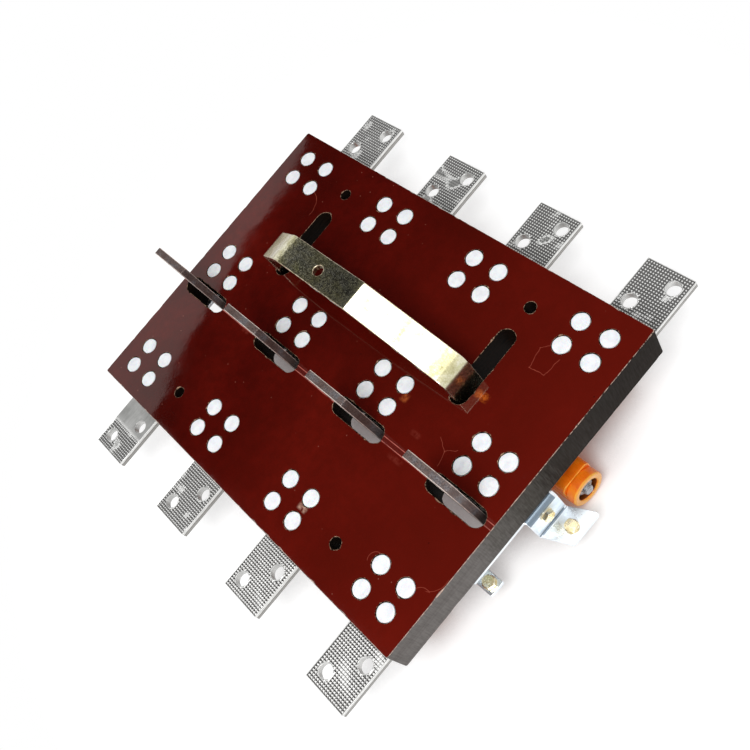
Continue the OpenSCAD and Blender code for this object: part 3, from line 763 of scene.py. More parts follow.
# %% [markdown]
# ## The end brackets
# Bright zinc plates bent twice: a foot screwed under the board, a web past its end, and an ear with a
# yellow bolt. A lug lower down is bent from its own strip. The right end is the left end mirrored.
# %% Brackets and bolts
def bracket():
    """Foot, web and ear in one flat outline, folded at two corners, with the lug beside them."""
    fold, zero, bends, length = folded([(171.5, -32.5), (185.5, -32.5), (185.5, -58.5), (209, -58.5)],
        [2.6, 2.6])
    ear = zero[2] + 1.0
    corners = [(0, -64.5), (11.5, -64.5), (11.5, -13), (ear, -13),
               (length, -3), (length, 25), (ear, 15), (0, 15)]
    flat = outline(corners, [1, 1, 1.2, 0.6, 2.2, 2.2, 0.6, 1], 1.6, count=6)
    beside = [(a - 1.2, b + 1.2) for a, b in bends]
    # The bends get -0.6, which the zinc finish paints as a dark line of shade along each bend.
    loose = np.vstack([bend_points(bends, -12.5, 14.5, bend_shade=-0.6),
        bend_points(beside, -12.5, 14.5, per_bend=2)])
    shape = plate(flat, (), 1.5, -1.5, 0.35, loose=loose, under=loose).placed(fold)
    fold, zero, bends, length = folded([(183, -32.6), (168.5, -32.6), (168.5, -58.5), (187, -58.5)],
        [2.6, 2.6])
    loose = bend_points(bends, -5.5, 5.5)
    lug = plate(rectangle(0, length, -6.5, 6.5, 1.5, 1.6), (), 1.5, -1.5, 0.35, loose=loose,
        under=loose).placed(fold)
    return shape.take(lug.at(0, 0, -58))


def plate_bolt(turn):
    """A bolt through a 3 mm plate that starts at 0: head and washer behind it, nut in front, and a little
    thread."""
    bolt = Shape().take(hexagon(9, 3.9, 7.0, turn=turn)).take(washer(3.0, 5.2, 3.0, 3.9))
    bolt.take(turned([(3, -0.5), (3, 3.5)], 24))
    return bolt.take(hexagon(9, -5, 0, turn=turn + 0.4)).take(thread(3.0, -7, 0.5))


def bracket_bolts():
    """Three bolts and the three small screws of the foot."""
    shape = Shape().take(plate_bolt(0.5).placed(along_y).at(200, -60, 6))
    shape.take(plate_bolt(0.2).placed(along_y).at(180, -60, -58))
    shape.take(plate_bolt(0.1).placed(along_x).at(184, -40.67, 1))
    screw = turned([(0.8, -35.2), (1.1, -35.95), (2.2, -35.95), (3.1, -35.4), (3.5, -34.4), (3.4, -34.0),
        (2, -33.9), (2, -21), (1, -20)], 28)
    for z in (-6, -44.5, -57.5):
        shape.take(screw.placed(along_y).at(177.25, 0, z))
    return shape


def mirror(points):
    """The same piece at the other end of the board."""
    return points * np.array([-1, 1, 1])


right_bracket, right_bolts = bracket(), bracket_bolts()
print("bracket points", right_bracket.count, "bolt points", right_bolts.count)

# %% [markdown]
# # Finishes
# Every finish is a small tree of shader nodes read in object coordinates, so a pattern keeps its real size
# in millimetres on every piece. The helper below writes the trees: each call adds one node and returns its
# output, and the constant values are set on the shader's own sockets.
# %% A helper for finishes
class Value:
    """A node's output. Arithmetic on it adds a Math node, so a formula reads here as it does on paper."""

    def __init__(self, finish, socket):
        self.maths, self.socket = finish.maths, socket

    def __add__(self, other):
        return self.maths("ADD", self, other)

    def __sub__(self, other):
        return self.maths("SUBTRACT", self, other)

    def __rsub__(self, other):
        return self.maths("SUBTRACT", other, self)

    def __mul__(self, other):
        return self.maths("MULTIPLY", self, other)

    def __truediv__(self, other):
        return self.maths("DIVIDE", self, other)

    def __abs__(self):
        return self.maths("ABSOLUTE", self)


class Finish:
    """One material: a Principled shader and the nodes that feed it."""

    def __init__(self, name, **values):
        self.material = bpy.data.materials.new(name)
        self.material.use_nodes = True
        self.tree = self.material.node_tree
        self.shader = self.tree.nodes["Principled BSDF"]
        self.place = self.tree.nodes.new("ShaderNodeTexCoord").outputs["Object"]
        for socket, value in values.items():
            self.shader.inputs[socket.replace("_", " ")].default_value = value

    def node(self, kind, output, inputs, **settings):
        """Adds a node, gives its inputs a value or a link, and returns one of its outputs."""
        n = self.tree.nodes.new(kind)
        for name, value in settings.items():
            setattr(n, name, value)
        for key, value in inputs.items():
            self.feed(n.inputs[key], value)
        return Value(self, n.outputs[output])

    def feed(self, socket, value):
        """Links a node's output to a socket, or sets the socket to a plain number or colour."""
        value = getattr(value, "socket", value)
        if isinstance(value, bpy.types.NodeSocket):
            self.tree.links.new(value, socket)
        else:
            socket.default_value = value

    def scaled(self, size, stretch=(1, 1, 1), shift=(0, 0, 0)):
        """Object coordinates times stretch, divided by a size in millimetres, so that one unit of a texture
        is one such size."""
        inputs = {"Vector": self.place, "Scale": [s / (size * MM) for s in stretch], "Location": shift}
        return self.node("ShaderNodeMapping", "Vector", inputs)

    def noise(self, size, detail=3.0, rough=0.5, distortion=0.0, **mapping):
        """A soft random value from 0 to 1, with blotches about a size in millimetres across."""
        inputs = {"Vector": self.scaled(size, **mapping), "Scale": 1.0, "Detail": detail, "Roughness": rough,
            "Distortion": distortion}
        return self.node("ShaderNodeTexNoise", "Fac", inputs)

    def cells(self, size, **mapping):
        """The distance to the nearest of many points scattered about a size in millimetres apart."""
        inputs = {"Vector": self.scaled(size, **mapping), "Scale": 1.0}
        return self.node("ShaderNodeTexVoronoi", "Distance", inputs)

    def rub_and_painted_light(self):
        """The value at each point: above 0 on rounded edges, which most finishes show as rubbed and the wax
        as painted shade, and on the collar's face, a painted highlight; below 0 on knurls, whose grooves
        take painted shade, and along the brackets' bends and in the collar's recess, which take painted
        shade too.
        """
        return self.node("ShaderNodeAttribute", "Fac", {}, attribute_name="rub_and_painted_light")

    def rubbed(self):
        """The value where it is above 0: rubbed edges, without the grooves."""
        return self.maths("MAXIMUM", self.rub_and_painted_light(), 0.0)

    def chips(self, low, high, size=3.2):
        """Rubbed edges broken into chips, where a noise of a size rises from low to high."""
        return self.rub_and_painted_light() * self.ramp(self.noise(size, detail=4, rough=0.7), (low, 0.0), (high, 1.0))

    def ramp(self, value, *stops):
        """A ramp from (position, grey or colour) stops."""
        n = self.tree.nodes.new("ShaderNodeValToRGB")
        self.feed(n.inputs[0], value)
        spots = n.color_ramp.elements
        while len(spots) < len(stops):
            spots.new(0.5)
        for spot, (position, colour) in zip(spots, stops):
            spot.position = position
            spot.color = (*colour, 1) if isinstance(colour, tuple) else (colour, colour, colour, 1)
        return Value(self, n.outputs[0])

    def maths(self, operation, a, b=0.0):
        """A Math node on one or two values."""
        return self.node("ShaderNodeMath", 0, {0: a, 1: b}, operation=operation)

    def mixed(self, share, a, b):
        """A colour that goes from a to b as share goes from 0 to 1."""
        a, b = [(*v, 1) if isinstance(v, tuple) else v for v in (a, b)]
        n = self.tree.nodes.new("ShaderNodeMix")
        n.data_type = "RGBA"
        for socket, value in ((0, share), (6, a), (7, b)):
            self.feed(n.inputs[socket], value)
        return Value(self, n.outputs[2])

    def bump(self, height, deep, under=None):
        """A bump whose full height is deep millimetres."""
        inputs = {"Height": height, "Strength": 1.0, "Distance": deep * MM}
        if under is not None:
            inputs["Normal"] = under
        return self.node("ShaderNodeBump", "Normal", inputs)

    def axis(self, which):
        """One object coordinate, in millimetres."""
        split = self.node("ShaderNodeSeparateXYZ", which, {0: self.place})
        return split * (1 / MM)

    def between(self, value, start, end, first=0.0, last=1.0):
        """Goes evenly from first to last as the value goes from start to end, and stays level outside
        them."""
        return self.node("ShaderNodeMapRange", 0, {0: value, 1: start, 2: end, 3: first, 4: last})

    def near(self, value, centre, half, soft):
        """1 within half of centre, falling to 0 over soft beyond it."""
        return self.between(abs(value - centre), half, half + soft, 1.0, 0.0)

    def to(self, **sockets):
        """Feeds the shader's sockets by name, and returns the material."""
        for socket, value in sockets.items():
            self.feed(self.shader.inputs[socket.replace("_", " ")], value)
        return self.material

    def surface(self, shader):
        """Uses another shader in place of the Principled one."""
        self.tree.nodes.remove(self.shader)
        self.feed(self.tree.nodes["Material Output"].inputs["Surface"], shader)
        return self.material


def srgb(r, g, b):
    """An everyday 0 to 255 colour as the linear values that a shader takes."""
    c = np.array([r, g, b]) / 255
    return tuple(float(v) for v in np.where(c <= 0.04045, c / 12.92, ((c + 0.055) / 1.055) ** 2.4))


# %% [markdown]
# ## Red lacquer
# The lacquer is a deep oxblood red, brushed on, so its gloss is slightly wavy, and it has specks, hair
# scratches and dull patches of handling. Two lines scribed across the row of slots show paler, and a
# rust-coloured smear is by one yoke leg. The chipped rims show the pale resin below. A plain red with a
# clear coat would be too clean.
# %% Red lacquer
lacquer = Finish("red_lacquer", Metallic=0.0, IOR=1.5, Specular_Tint=(1.0, 0.86, 0.80, 1))
x_mm, z_mm = lacquer.axis("X"), lacquer.axis("Z")
cloud = lacquer.noise(95, detail=4, rough=0.55)
base = lacquer.ramp(cloud, (0.3, srgb(54, 5, 2)), (0.5, srgb(74, 8, 4)), (0.72, srgb(92, 14, 7)))
base = lacquer.mixed(lacquer.ramp(lacquer.noise(9, detail=5, rough=0.7), (0.4, 0.35), (0.6, 0.0)), base,
    srgb(50, 5, 2))
# Lighter red towards the -X end: painted light, for the nearer lamp at that end.
painted_light_toward_end = lacquer.between(x_mm, 60.0, -183.0, 0.0, 0.55)
base = lacquer.mixed(painted_light_toward_end, base, srgb(106, 22, 12))
fine = lacquer.noise(1.3, detail=3, rough=0.7)
base = lacquer.mixed(lacquer.ramp(fine, (0.5, 0.0), (0.85, 0.3)), base, srgb(104, 22, 12))
speck = lacquer.cells(11, shift=(3, 1, 7))
base = lacquer.mixed(lacquer.ramp(speck, (0.02, 0.75), (0.05, 0.0)), base, srgb(150, 92, 78))
dark = lacquer.cells(17, shift=(8, 2, 1))
base = lacquer.mixed(lacquer.ramp(dark, (0.015, 0.8), (0.04, 0.0)), base, srgb(30, 6, 5))
wander = (lacquer.noise(60, detail=2) - 0.5) * 1.6
for line_z in (-27.2, -31.0):
    line = lacquer.near(z_mm + wander, line_z, 0.12, 0.25)
    line = line * lacquer.ramp(lacquer.noise(14, detail=3), (0.34, 0.0), (0.52, 0.9))
    base = lacquer.mixed(line, base, srgb(196, 108, 96))


def arc_scratch(x, z, radius, half_angle, towards, thin=0.12):
    """1 on part of a circle about (x, z): where the distance from it is near radius and the angle is near
    towards."""
    dx, dz = x_mm - x, z_mm - z
    away = lacquer.maths("SQRT", dx * dx + dz * dz)
    wobble = lacquer.noise(9, detail=2) * (radius * 0.25)
    ring = lacquer.near(away + wobble, radius * 1.12, thin, thin)
    along = dx * math.cos(towards) + dz * math.sin(towards)
    cosine = along / lacquer.maths("MAXIMUM", away, 0.01)
    return ring * lacquer.between(cosine, math.cos(half_angle), math.cos(half_angle) + 0.1, 0.0, 1.0)


def straight_scratch(x0, z0, x1, z1, thin=0.14):
    """1 near a straight line between two points: along it t = (p - p0) . d / L, and its distance from the
    line is |(p - p0) x d|."""
    long = math.hypot(x1 - x0, z1 - z0)
    ux, uz = (x1 - x0) / long, (z1 - z0) / long
    bent = (lacquer.noise(7, detail=2) - 0.5) * 3.0
    dx, dz = x_mm - x0, z_mm - z0
    along = dx * ux + dz * uz
    off = dx * uz - dz * ux
    return lacquer.near(off + bent, 0.0, thin, thin) * lacquer.near(along, long / 2, long / 2, 0.8)


scratches = [arc_scratch(*a) for a in (
    (-175, -93, 8, 1.0, 0.9), (-168, -74, 14, 0.7, 3.6), (-133, -94, 6, 1.1, 0.4), (133, 77, 15, 1.2, 2.2))]
scratches += [straight_scratch(*a) for a in (
    (-127, 84, -130, 69), (-130, 69, -142, 70), (-142, 70, -144, 84), (-127, 84, -133, 90),
    (-112, -4, -121, -10), (-121, -10, -128, -4), (-121, -10, -124, -20))]
for scratch in scratches:
    base = lacquer.mixed(scratch * 0.55, base, srgb(164, 78, 62))
for x, z, wide, tall, colour, strong in (
        (-116, 35, 5, 3, (190, 92, 28), 0.8), (-69, 2.5, 3, 3, (168, 84, 40), 0.7),
        (-62, -102, 4, 2.5, (196, 160, 140), 0.8), (-95, -13, 4, 2, (120, 48, 38), 0.5),
        (-95, -35, 6, 2, (120, 48, 38), 0.5), (90, -32, 5, 2, (120, 48, 38), 0.5)):
    patch = lacquer.near(x_mm, x, wide * 0.6, wide * 0.7) * lacquer.near(z_mm, z, tall * 0.6, tall * 0.7)
    patch = patch * lacquer.ramp(lacquer.noise(4, detail=5, rough=0.7), (0.38, 0.0), (0.56, strong))
    base = lacquer.mixed(patch, base, srgb(*colour))
chip = lacquer.chips(0.52, 0.6)
base = lacquer.mixed(chip, base, srgb(172, 128, 100))
dull = lacquer.ramp(lacquer.noise(38, detail=5, rough=0.65, shift=(2, 9, 4)), (0.3, 0.025), (0.6, 0.05),
    (0.8, 0.11))
dull = lacquer.mixed(chip, dull, (0.6, 0.6, 0.6))
wave = lacquer.bump(lacquer.noise(26, detail=2, rough=0.4), 0.06)
wave = lacquer.bump(lacquer.noise(2.4, detail=2, rough=0.5, shift=(4, 4, 4)), 0.006, wave)
red_lacquer = lacquer.to(Base_Color=base, Roughness=dull, Normal=wave)

# %% [markdown]
# ## The sawn ends of the board
# The sides of the board were sawn and only thinly painted: a dull brown black with saw marks across them,
# turning grey towards the lower end: a painted reflection of the bright table below.
# %% Sawn edge
sawn = Finish("sawn_board_edge", Metallic=0.0, IOR=1.5, Specular_IOR_Level=0.02)
grain = sawn.noise(0.9, detail=4, rough=0.6, stretch=(1, 0.08, 1))
layers = sawn.noise(4, detail=3, rough=0.6, stretch=(0.02, 1, 0.02))
broad = sawn.noise(46, detail=4, rough=0.6, stretch=(1, 0.3, 1))
# From grey at the lower end to dark brown at the top: a painted reflection of the bright table below.
height = (sawn.axis("Z") + 134) * (1 / 268)
tone = grain * 0.1 + broad * 0.3
tone = tone - 0.2 + height
base = sawn.ramp(tone, (0.3, srgb(130, 125, 122)), (0.46, srgb(96, 92, 87)), (0.6, srgb(46, 40, 35)),
    (0.85, srgb(34, 28, 23)))
base = sawn.mixed(sawn.ramp(grain, (0.4, 0.0), (0.7, 0.25)), base, srgb(24, 19, 16))
base = sawn.mixed(sawn.ramp(layers, (0.45, 0.0), (0.75, 0.25)), base, srgb(50, 34, 28))
chip = sawn.chips(0.42, 0.55)
base = sawn.mixed(chip, base, srgb(206, 176, 160))
rough = sawn.ramp(grain, (0.3, 0.5), (0.7, 0.7))
sawn_edge = sawn.to(Base_Color=base, Roughness=rough, Normal=sawn.bump(grain, 0.03, sawn.bump(layers, 0.03)))

# The walls of holes and slots are bare laminate in a near-black colour, which is painted shade for the deep
# shade inside them, with paint run in at the rim.
bore = Finish("shaded_bore_wall", Metallic=0.0, IOR=1.5, Specular_IOR_Level=0.02)
turn_marks = bore.noise(1.2, detail=3, rough=0.6, stretch=(0.1, 1, 0.1))
# Near black: painted shade for the inside of holes and slots.
base = bore.ramp(turn_marks, (0.35, srgb(14, 10, 8)), (0.65, srgb(34, 24, 18)))
chip = bore.chips(0.44, 0.55, 2.4)
base = bore.mixed(chip, base, srgb(176, 140, 116))
shaded_bore_wall = bore.to(Base_Color=base, Roughness=bore.ramp(turn_marks, (0.3, 0.5), (0.7, 0.7)),
    Normal=bore.bump(turn_marks, 0.04))

# %% [markdown]
# ## White wax
# Wax lets a little light in, so it has a touch of subsurface scattering, a soft sheen and small pits and
# scrapes.
# %% Wax
wax = Finish("white_wax", Metallic=0.0, Roughness=0.42, IOR=1.44, Subsurface_Weight=0.12,
    Subsurface_Scale=0.002)
tone = wax.noise(7, detail=4, rough=0.6)
base = wax.ramp(tone, (0.3, srgb(222, 224, 230)), (0.55, srgb(238, 240, 243)), (0.75, srgb(246, 247, 248)))
pits = wax.cells(2.6, shift=(1, 5, 2))
base = wax.mixed(wax.ramp(pits, (0.05, 0.35), (0.14, 0.0)), base, srgb(196, 196, 204))
# A darker rim: painted shade where the wax meets the dark hole.
base = wax.mixed(wax.rub_and_painted_light() * 0.25, base, srgb(170, 160, 152))
white_wax = wax.to(Base_Color=base, Normal=wax.bump(wax.noise(3.5, detail=3, rough=0.6), 0.06,
    wax.bump(pits, 0.03)))


# %% [markdown]
# ## Metals
# The bars are tinned copper: a soft grey metal with draw marks along the bar, brighter on rubbed edges and
# knurl tips, with painted shade in the knurl's valleys. The copper of the knives, the plain steel and the
# two passivated zincs are made the same way, from a base colour, draw marks along one axis, a cloud of
# tarnish and bright rubbed edges.
# %% A metal
def metal(name, dark, usual, bright, rough=(0.3, 0.45), marks=(1, 1, 0.04), mark_deep=0.01, cloud_size=18.0,
        edge=None, mark_size=0.7, metallic=1.0, sunk_shade=None):
    """A metal with tarnish clouds of a size, draw marks stretched along an axis, and bright rubbed edges.
    The last argument is a colour of painted shade for places with a value below 0, the knurl's grooves and
    the brackets' bends, and then the rubbed places are also less of a mirror."""
    m = Finish(name, Metallic=metallic)
    tarnish = m.noise(cloud_size, detail=5, rough=0.6)
    lines = m.noise(mark_size, detail=4, rough=0.65, stretch=marks)
    value = tarnish * 0.62 + lines * 0.38
    base = m.ramp(value, (0.36, dark), (0.5, usual), (0.64, bright))
    rub = m.rubbed() * m.ramp(m.noise(4, detail=3), (0.3, 0.35), (0.6, 0.9))
    base = m.mixed(rub, base, edge or bright)
    roughness = m.ramp(value, (0.36, rough[1]), (0.64, rough[0]))
    if sunk_shade:
        sunk = m.between(m.rub_and_painted_light(), -0.42, -0.56, 0.0, 0.92)
        tips = m.between(m.rub_and_painted_light(), -0.08, -0.24, 0.0, 1.0)
        tips = tips * (1.0 - sunk)
        base = m.mixed(sunk, m.mixed(tips, base, edge), sunk_shade)
        roughness = m.mixed(tips, roughness, (0.5, 0.5, 0.5))
        m.to(Metallic=m.ramp(tips, (0.0, metallic), (1.0, 0.3)))
    return m.to(Base_Color=base, Roughness=roughness,
        Normal=m.bump(lines, mark_deep, m.bump(tarnish, mark_deep * 2)))


# The dark grey given for sunk places is painted shade in the knurl's grooves.
tinned = metal("tinned_copper", srgb(158, 158, 156), srgb(184, 184, 182), srgb(206, 206, 204), (0.26, 0.38),
    edge=srgb(232, 232, 230), sunk_shade=srgb(92, 91, 90))
tinned_rear = metal("tinned_copper_rear", srgb(120, 116, 112), srgb(160, 156, 150), srgb(196, 190, 182),
    (0.34, 0.5), (1, 0.06, 1), edge=srgb(220, 214, 206), metallic=0.75, sunk_shade=srgb(84, 82, 80))


def sheared(name, y_rear, thick):
    """The side of a sheared bar: a burnished band on its rear two fifths, a dark line, and torn grey metal
    beyond it. At depth y the share is (y_rear - y) / thick, moved by a little noise."""
    m = Finish(name, Metallic=0.6)
    share = (y_rear - m.axis("Y")) * (1 / thick)
    share = share + (m.noise(6, detail=4, rough=0.7) - 0.5) * 0.16
    base = m.ramp(share, (0.0, srgb(228, 228, 226)), (0.36, srgb(236, 236, 234)), (0.42, srgb(66, 62, 58)),
        (0.48, srgb(150, 148, 144)), (0.86, srgb(164, 162, 158)), (0.94, srgb(70, 66, 62)))
    streaks = m.noise(0.8, detail=4, rough=0.7, stretch=(1, 1, 0.08))
    base = m.mixed(m.ramp(streaks, (0.45, 0.0), (0.7, 0.4)), base, srgb(112, 108, 104))
    return m.to(Base_Color=base, Roughness=m.ramp(streaks, (0.3, 0.36), (0.7, 0.55)),
        Normal=m.bump(streaks, 0.02))


bar_side = sheared("sheared_bar_side", float(bar_high[1]), float(bar_thick))

# The feed bars' cut ends and sides are a mottled red brown to blue grey, with specks, and pale rubbed
# corners. The red brown is partly a painted reflection of the red board, and the pale corners are partly a
# painted highlight.
cut = Finish("cut_bar_end", Metallic=0.5)
# Red brown to blue grey, the red brown partly a painted reflection of the red board.
mottle_with_red_reflection = cut.noise(13, detail=5, rough=0.65)
base = cut.ramp(mottle_with_red_reflection, (0.36, srgb(96, 72, 64)), (0.5, srgb(112, 94, 88)), (0.64, srgb(124, 122, 126)))
specks = cut.noise(1.0, detail=3, rough=0.8)
base = cut.mixed(cut.ramp(specks, (0.46, 0.0), (0.56, 0.8)), base, srgb(52, 48, 50))
# Pale corners: partly rubbed metal, partly a painted highlight.
rub = cut.rubbed() * cut.ramp(cut.noise(3, detail=3), (0.3, 0.5), (0.55, 1.0))
base = cut.mixed(rub, base, srgb(232, 214, 204))
cut_end = cut.to(Base_Color=base, Roughness=cut.ramp(specks, (0.3, 0.42), (0.7, 0.6)),
    Normal=cut.bump(specks, 0.06))

copper = metal("bare_copper", srgb(150, 84, 56), srgb(196, 118, 82), srgb(222, 150, 112), (0.24, 0.4),
    edge=srgb(236, 172, 134))
steel = metal("plain_steel", srgb(120, 122, 126), srgb(158, 160, 164), srgb(190, 192, 196), (0.24, 0.38),
    (1, 1, 1), cloud_size=6)
# The blue grey given for sunk places is painted shade along the brackets' bends.
white_zinc = metal("white_zinc", srgb(205, 214, 222), srgb(226, 233, 238), srgb(240, 244, 247), (0.22, 0.4),
    (0.3, 1, 1), cloud_size=12, edge=srgb(238, 242, 246), sunk_shade=srgb(112, 128, 142))

# %% [markdown]
# ## Yellow passivation
# The passivated zinc coat on the yoke is thin enough to show interference colours: gold, olive and green
# patches that drift into pink along its edges. Its bolts have the same coat, more brassy. A noise drives a
# ramp through these colours.
# %% Yellow zinc
def passivated(name, stops, rough, size, rub, dull):
    """Zinc whose thin coat changes colour with its thickness: one smooth noise runs through a ramp of film
    colours. Greenish patches lie over it, and a fine grain of a dull dark colour on the flat of the arch and
    down its legs to the feet: a painted reflection of the dark ceiling on the flat, and painted shade on the
    legs."""
    m = Finish(name, Metallic=1.0)
    film = m.noise(size, detail=5, rough=0.62, distortion=0.6)
    lines = m.noise(0.8, detail=4, rough=0.7, stretch=(0.05, 1, 1))
    value = film * 0.72 + lines * 0.28
    base = m.ramp(value, *stops)
    base = m.mixed(m.rub_and_painted_light() * 0.85, base, rub)
    green = m.ramp(m.noise(11, detail=6, rough=0.75, shift=(6, 2, 3)), (0.34, 0.35), (0.44, 0.0))
    base = m.mixed(green, base, srgb(186, 196, 120))
    # A dark grain on the flat of the arch and down the legs: a painted reflection of the dark ceiling on the
    # flat, and painted shade on the legs where they go into the slots.
    painted_reflection_and_shade = m.maths("MAXIMUM", m.near(m.axis("X"), 26, 36, 6), m.near(m.axis("Y"), -6, 24, 5))
    grainy = m.ramp(m.noise(1.5, detail=4, rough=0.8, shift=(1, 7, 3)), (0.44, 0.75), (0.58, 0.0))
    base = m.mixed(grainy * painted_reflection_and_shade, base, dull)
    roughness = m.ramp(value, (0.36, rough[1]), (0.66, rough[0]))
    return m.to(Base_Color=base, Roughness=roughness, Normal=m.bump(lines, 0.012, m.bump(film, 0.03)))


yellow_zinc = passivated(
    "yellow_passivated_zinc",
    [(0.34, srgb(150, 144, 104)), (0.44, srgb(196, 190, 150)), (0.53, srgb(224, 220, 192)),
     (0.62, srgb(234, 232, 216)), (0.70, srgb(234, 214, 204))],
    (0.16, 0.28), 22, srgb(238, 214, 190), srgb(70, 64, 36))
bolt_zinc = passivated(
    "brassy_bolt_zinc",
    [(0.36, srgb(204, 186, 140)), (0.5, srgb(232, 220, 184)), (0.64, srgb(248, 242, 222))],
    (0.2, 0.34), 5, srgb(250, 244, 226), srgb(120, 104, 66))

# %% [markdown]
# ## Orange insulator
# The sleeves are moulded from glass-filled resin: a strong orange with a faint mottle, a satin skin and
# fine pits.
# %% Insulator
orange = Finish("orange_moulding", Metallic=0.0, IOR=1.5, Subsurface_Weight=0.05, Subsurface_Scale=0.003)
mottle = orange.noise(9, detail=4, rough=0.6)
base = orange.ramp(mottle, (0.32, srgb(236, 104, 4)), (0.5, srgb(250, 122, 8)), (0.7, srgb(255, 146, 30)))
# Yellow on rubbed edges and on the collar's front face, where it is a painted highlight; dark brown on the
# collar's recess wall, a painted shade.
base = orange.mixed(orange.maths("MAXIMUM", orange.rub_and_painted_light() * 0.6, 0.0), base, srgb(255, 196, 60))
base = orange.mixed(orange.maths("MAXIMUM", orange.rub_and_painted_light() * -0.85, 0.0), base, srgb(58, 26, 8))
fibres = orange.noise(0.9, detail=3, rough=0.7, stretch=(0.2, 1, 1))
rough = orange.ramp(fibres, (0.35, 0.26), (0.7, 0.42))
orange_moulding = orange.to(Base_Color=base, Roughness=rough,
    Normal=orange.bump(fibres, 0.02, orange.bump(mottle, 0.05)))
print("finishes:", sorted(m.name for m in bpy.data.materials))

# %% [markdown]
# # Putting the pieces on the frame
# Each shape now becomes a mesh with its finish, rides on the body that carries it, and stands for its
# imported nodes.
# %% Pieces on the base
piece("base_board_lacquered", board_shape, [red_lacquer, sawn_edge, shaded_bore_wall], "base",
    ["base_board"])
for row in ROWS:
    piece(f"wax_plugs_{row}_scraped", wax_rows[row], [white_wax], "base", [f"wax_plugs_{row}"], 30)
    piece(f"contact_screws_{row}_threaded", screw_rows[row], [steel], "base",
        [f"contact_screws_{row}"])
for n in POLES:
    for row, up in (("top", 1), ("bottom", -1)):
        piece(f"{row}_terminal_{n}_knurled", terminal_bar(n, up), [tinned, bar_side], "base",
            [f"{row}_terminal_{n}"])
    piece(f"rear_terminal_{n}_bent", rear_bar(n), [tinned_rear, cut_end], "base",
        [f"rear_terminal_{n}"])
    for row, up in (("top", 1), ("bottom", -1)):
        piece(f"{row}_jaw_{n}_strips", contact(n, up * jaw_z), [copper], "base", [f"{row}_jaw_{n}"])
    piece(f"hinge_clip_{n}_strips", contact(n, 0, True), [copper], "base", [f"hinge_clip_{n}"])
pins = Shape()
for n in POLES:
    pins.take(hinge_pin(n))
piece("hinge_pins_turned", pins, [steel], "base", ["hinge_pins"])
for side, plates in (("right", right_bracket), ("left", right_bracket.placed(mirror))):
    piece(f"end_bracket_{side}_bent", plates, [white_zinc], "base", [f"end_bracket_{side}"])
for side, bolts in (("right", right_bolts), ("left", right_bolts.placed(mirror))):
    piece(f"bracket_bolts_{side}_hex", bolts, [bolt_zinc], "base", [f"bracket_bolts_{side}"])

# %% Pieces that move
for n in POLES:
    piece(f"knife_{n}_blade", knife(n), [copper], "knives", [f"knife_{n}"])
piece("crossbar_rod_threaded", rod, [steel], "knives", ["crossbar_rod"])
piece("crossbar_sleeves_moulded", sleeves, [orange_moulding], "knives", ["crossbar_sleeves"])
piece("yoke_bent", yoke_shape, [yellow_zinc], "yoke_slider", ["yoke"])
piece("yoke_crosspiece_screwed", cross, [yellow_zinc], "yoke_slider", ["yoke_crosspiece"])

# %% [markdown]
# # Floor, light and camera
# The switch lies face down on a white table, so the table is a plane across Y under its lowest point, and
# it has one side only, to let views from the front see through it. Near the switch it is matt and takes the
# shadows, with a glow where it is open to the sky, and further off it turns to plain white. The world is
# white to the camera and in reflections, and half as bright on matt surfaces. A dark card above stands for
# the dim ceiling that metal reflects.
# %% Table, world and cards
low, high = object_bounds()
table_y = low[1] - 0.0008


def sheet(name, corners, material):
    """A flat stage piece with the corners given, in metres."""
    mesh = bpy.data.meshes.new(name)
    mesh.from_pydata(corners, [], [tuple(range(len(corners)))])
    mesh.materials.append(material)
    obj = bpy.data.objects.new(name, mesh)
    bpy.context.scene.collection.objects.link(obj)
    return obj


ground = Finish("white_table")
inner = ground.node("ShaderNodeVectorMath", 0, {0: ground.place, 1: (1 / 0.36, 0, 1 / 0.34)},
    operation="MULTIPLY")
far = ground.node("ShaderNodeVectorMath", "Value", {0: inner}, operation="LENGTH")
matt = ground.node("ShaderNodeBsdfDiffuse", 0, {"Color": (0.6, 0.6, 0.6, 1)})
open_sky = ground.node("ShaderNodeAmbientOcclusion", "AO", {"Distance": 0.075}, samples=12)
lift = ground.node("ShaderNodeEmission", 0, {"Strength": ground.between(open_sky, 0.22, 0.66, 0.0, 0.6)})
lit = ground.node("ShaderNodeAddShader", 0, {0: matt, 1: lift})
glow = ground.node("ShaderNodeEmission", 0, {"Strength": 1.0})
blend = ground.node("ShaderNodeMixShader", 0, {0: ground.between(far, 0.75, 1.15), 1: lit, 2: glow})
clear = ground.node("ShaderNodeBsdfTransparent", 0, {})
below = ground.node("ShaderNodeNewGeometry", "Backfacing", {})
material = ground.surface(ground.node("ShaderNodeMixShader", 0, {0: below, 1: blend, 2: clear}))
table = sheet("table", [(-2, table_y, -2), (-2, table_y, 2), (2, table_y, 2), (2, table_y, -2)], material)
table.visible_diffuse = False
table.visible_shadow = False

card = Finish("dark_card")
dim = card.node("ShaderNodeEmission", 0, {"Color": (0.022, 0.021, 0.020, 1), "Strength": 1.0})
material = card.surface(dim)


camera_place = (-0.4355, 0.5503, -0.0350)


def mirrored(x, z, height):
    """The point at a height above the board that the camera sees mirrored at (x, z) on it: on the line from
    the camera's mirror image below the board, through (x, 0, z)."""
    eye = Vector((camera_place[0], -camera_place[1], camera_place[2]))
    return eye + (Vector((x, 0, z)) * MM - eye) * (1 + height / camera_place[1])


shown = ((-230, -134), (106, -134), (134, -60), (158, 40), (160, 80), (178, 128), (235, 150), (240, 520),
         (-230, 520))
ceiling = sheet("ceiling_card", [mirrored(x, z, 1.6) for x, z in shown], material)
for kind in ("camera", "diffuse", "shadow", "transmission"):
    setattr(ceiling, f"visible_{kind}", False)

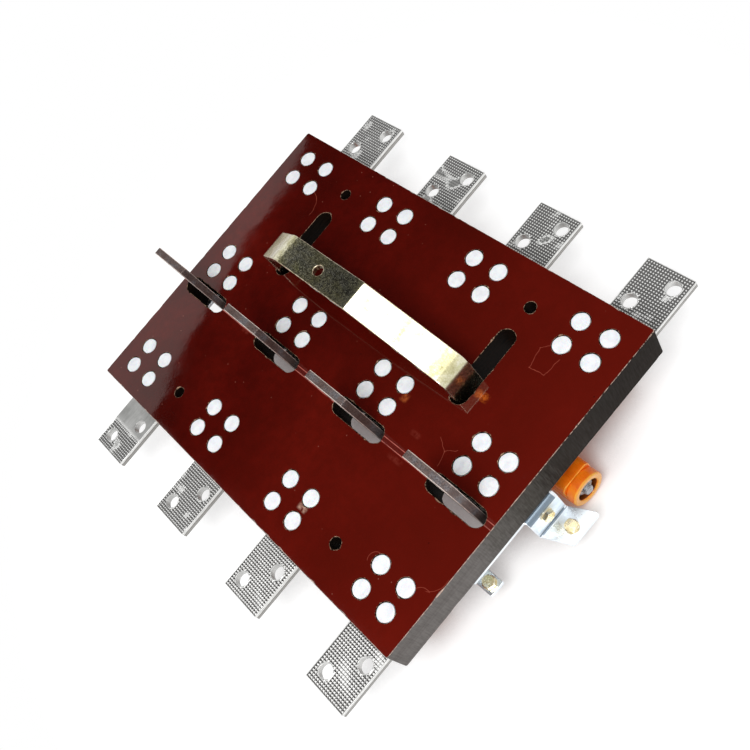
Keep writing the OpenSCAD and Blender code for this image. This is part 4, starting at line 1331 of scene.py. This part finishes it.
world = bpy.data.worlds.new("studio")
bpy.context.scene.world = world
world.use_nodes = True
tree = world.node_tree
back = tree.nodes["Background"]
back.inputs[0].default_value = (1, 1, 1, 1)
ray = tree.nodes.new("ShaderNodeLightPath")
seen = ray.outputs["Is Camera Ray"]
for other in ("Is Glossy Ray", "Is Transmission Ray"):
    add = tree.nodes.new("ShaderNodeMath")
    add.operation, add.use_clamp = "ADD", True
    tree.links.new(seen, add.inputs[0])
    tree.links.new(ray.outputs[other], add.inputs[1])
    seen = add.outputs[0]
level = tree.nodes.new("ShaderNodeMapRange")
level.inputs[3].default_value, level.inputs[4].default_value = 0.5, 1.0
tree.links.new(seen, level.inputs[0])
tree.links.new(level.outputs[0], back.inputs[1])
print("table at", round(table_y / MM, 1), "mm")


# %% Lamps
def lamp(name, place, aim, size, watts):
    """A square area lamp at a place, turned towards a point."""
    data = bpy.data.lights.new(name, "AREA")
    data.shape, data.size, data.energy = "SQUARE", size, watts
    obj = bpy.data.objects.new(name, data)
    obj.location = place
    obj.rotation_euler = (Vector(place) - Vector(aim)).to_track_quat("Z", "Y").to_euler()
    bpy.context.scene.collection.objects.link(obj)
    return obj


lamp("key", (-0.50, 0.96, -0.33), (0, 0, 0), 0.42, 7)
lamp("overhead", (0.16, 1.5, 0.15), (0, 0, 0), 0.5, 3.5)
lamp("front_fill", (-0.5, -1.6, 0.5), (0, 0, 0), 1.2, 10)

# %% [markdown]
# ## Camera
# The view is from behind and to one side, rolled, with the board's short end nearest. It is written as
# three directions, because a rolled view is easier to check that way than as angles.
# %% Camera
camera_data = bpy.data.cameras.new("camera")
camera_data.sensor_width, camera_data.lens = 36.0, 45.43
camera_data.shift_x, camera_data.shift_y = 0.0143, 0.0048
camera_data.clip_start, camera_data.clip_end = 0.01, 20
camera = bpy.data.objects.new("camera", camera_data)
right, up = Vector((-0.6365, -0.4317, 0.6392)), Vector((0.4953, 0.4064, 0.7678))
ahead = Vector((0.5912, -0.8053, 0.0449))
camera.matrix_world = Matrix.Translation(camera_place) @ Matrix((right, up, -ahead)).transposed().to_4x4()
bpy.context.scene.collection.objects.link(camera)
bpy.context.scene.camera = camera
bpy.context.scene.view_settings.view_transform = "Standard"
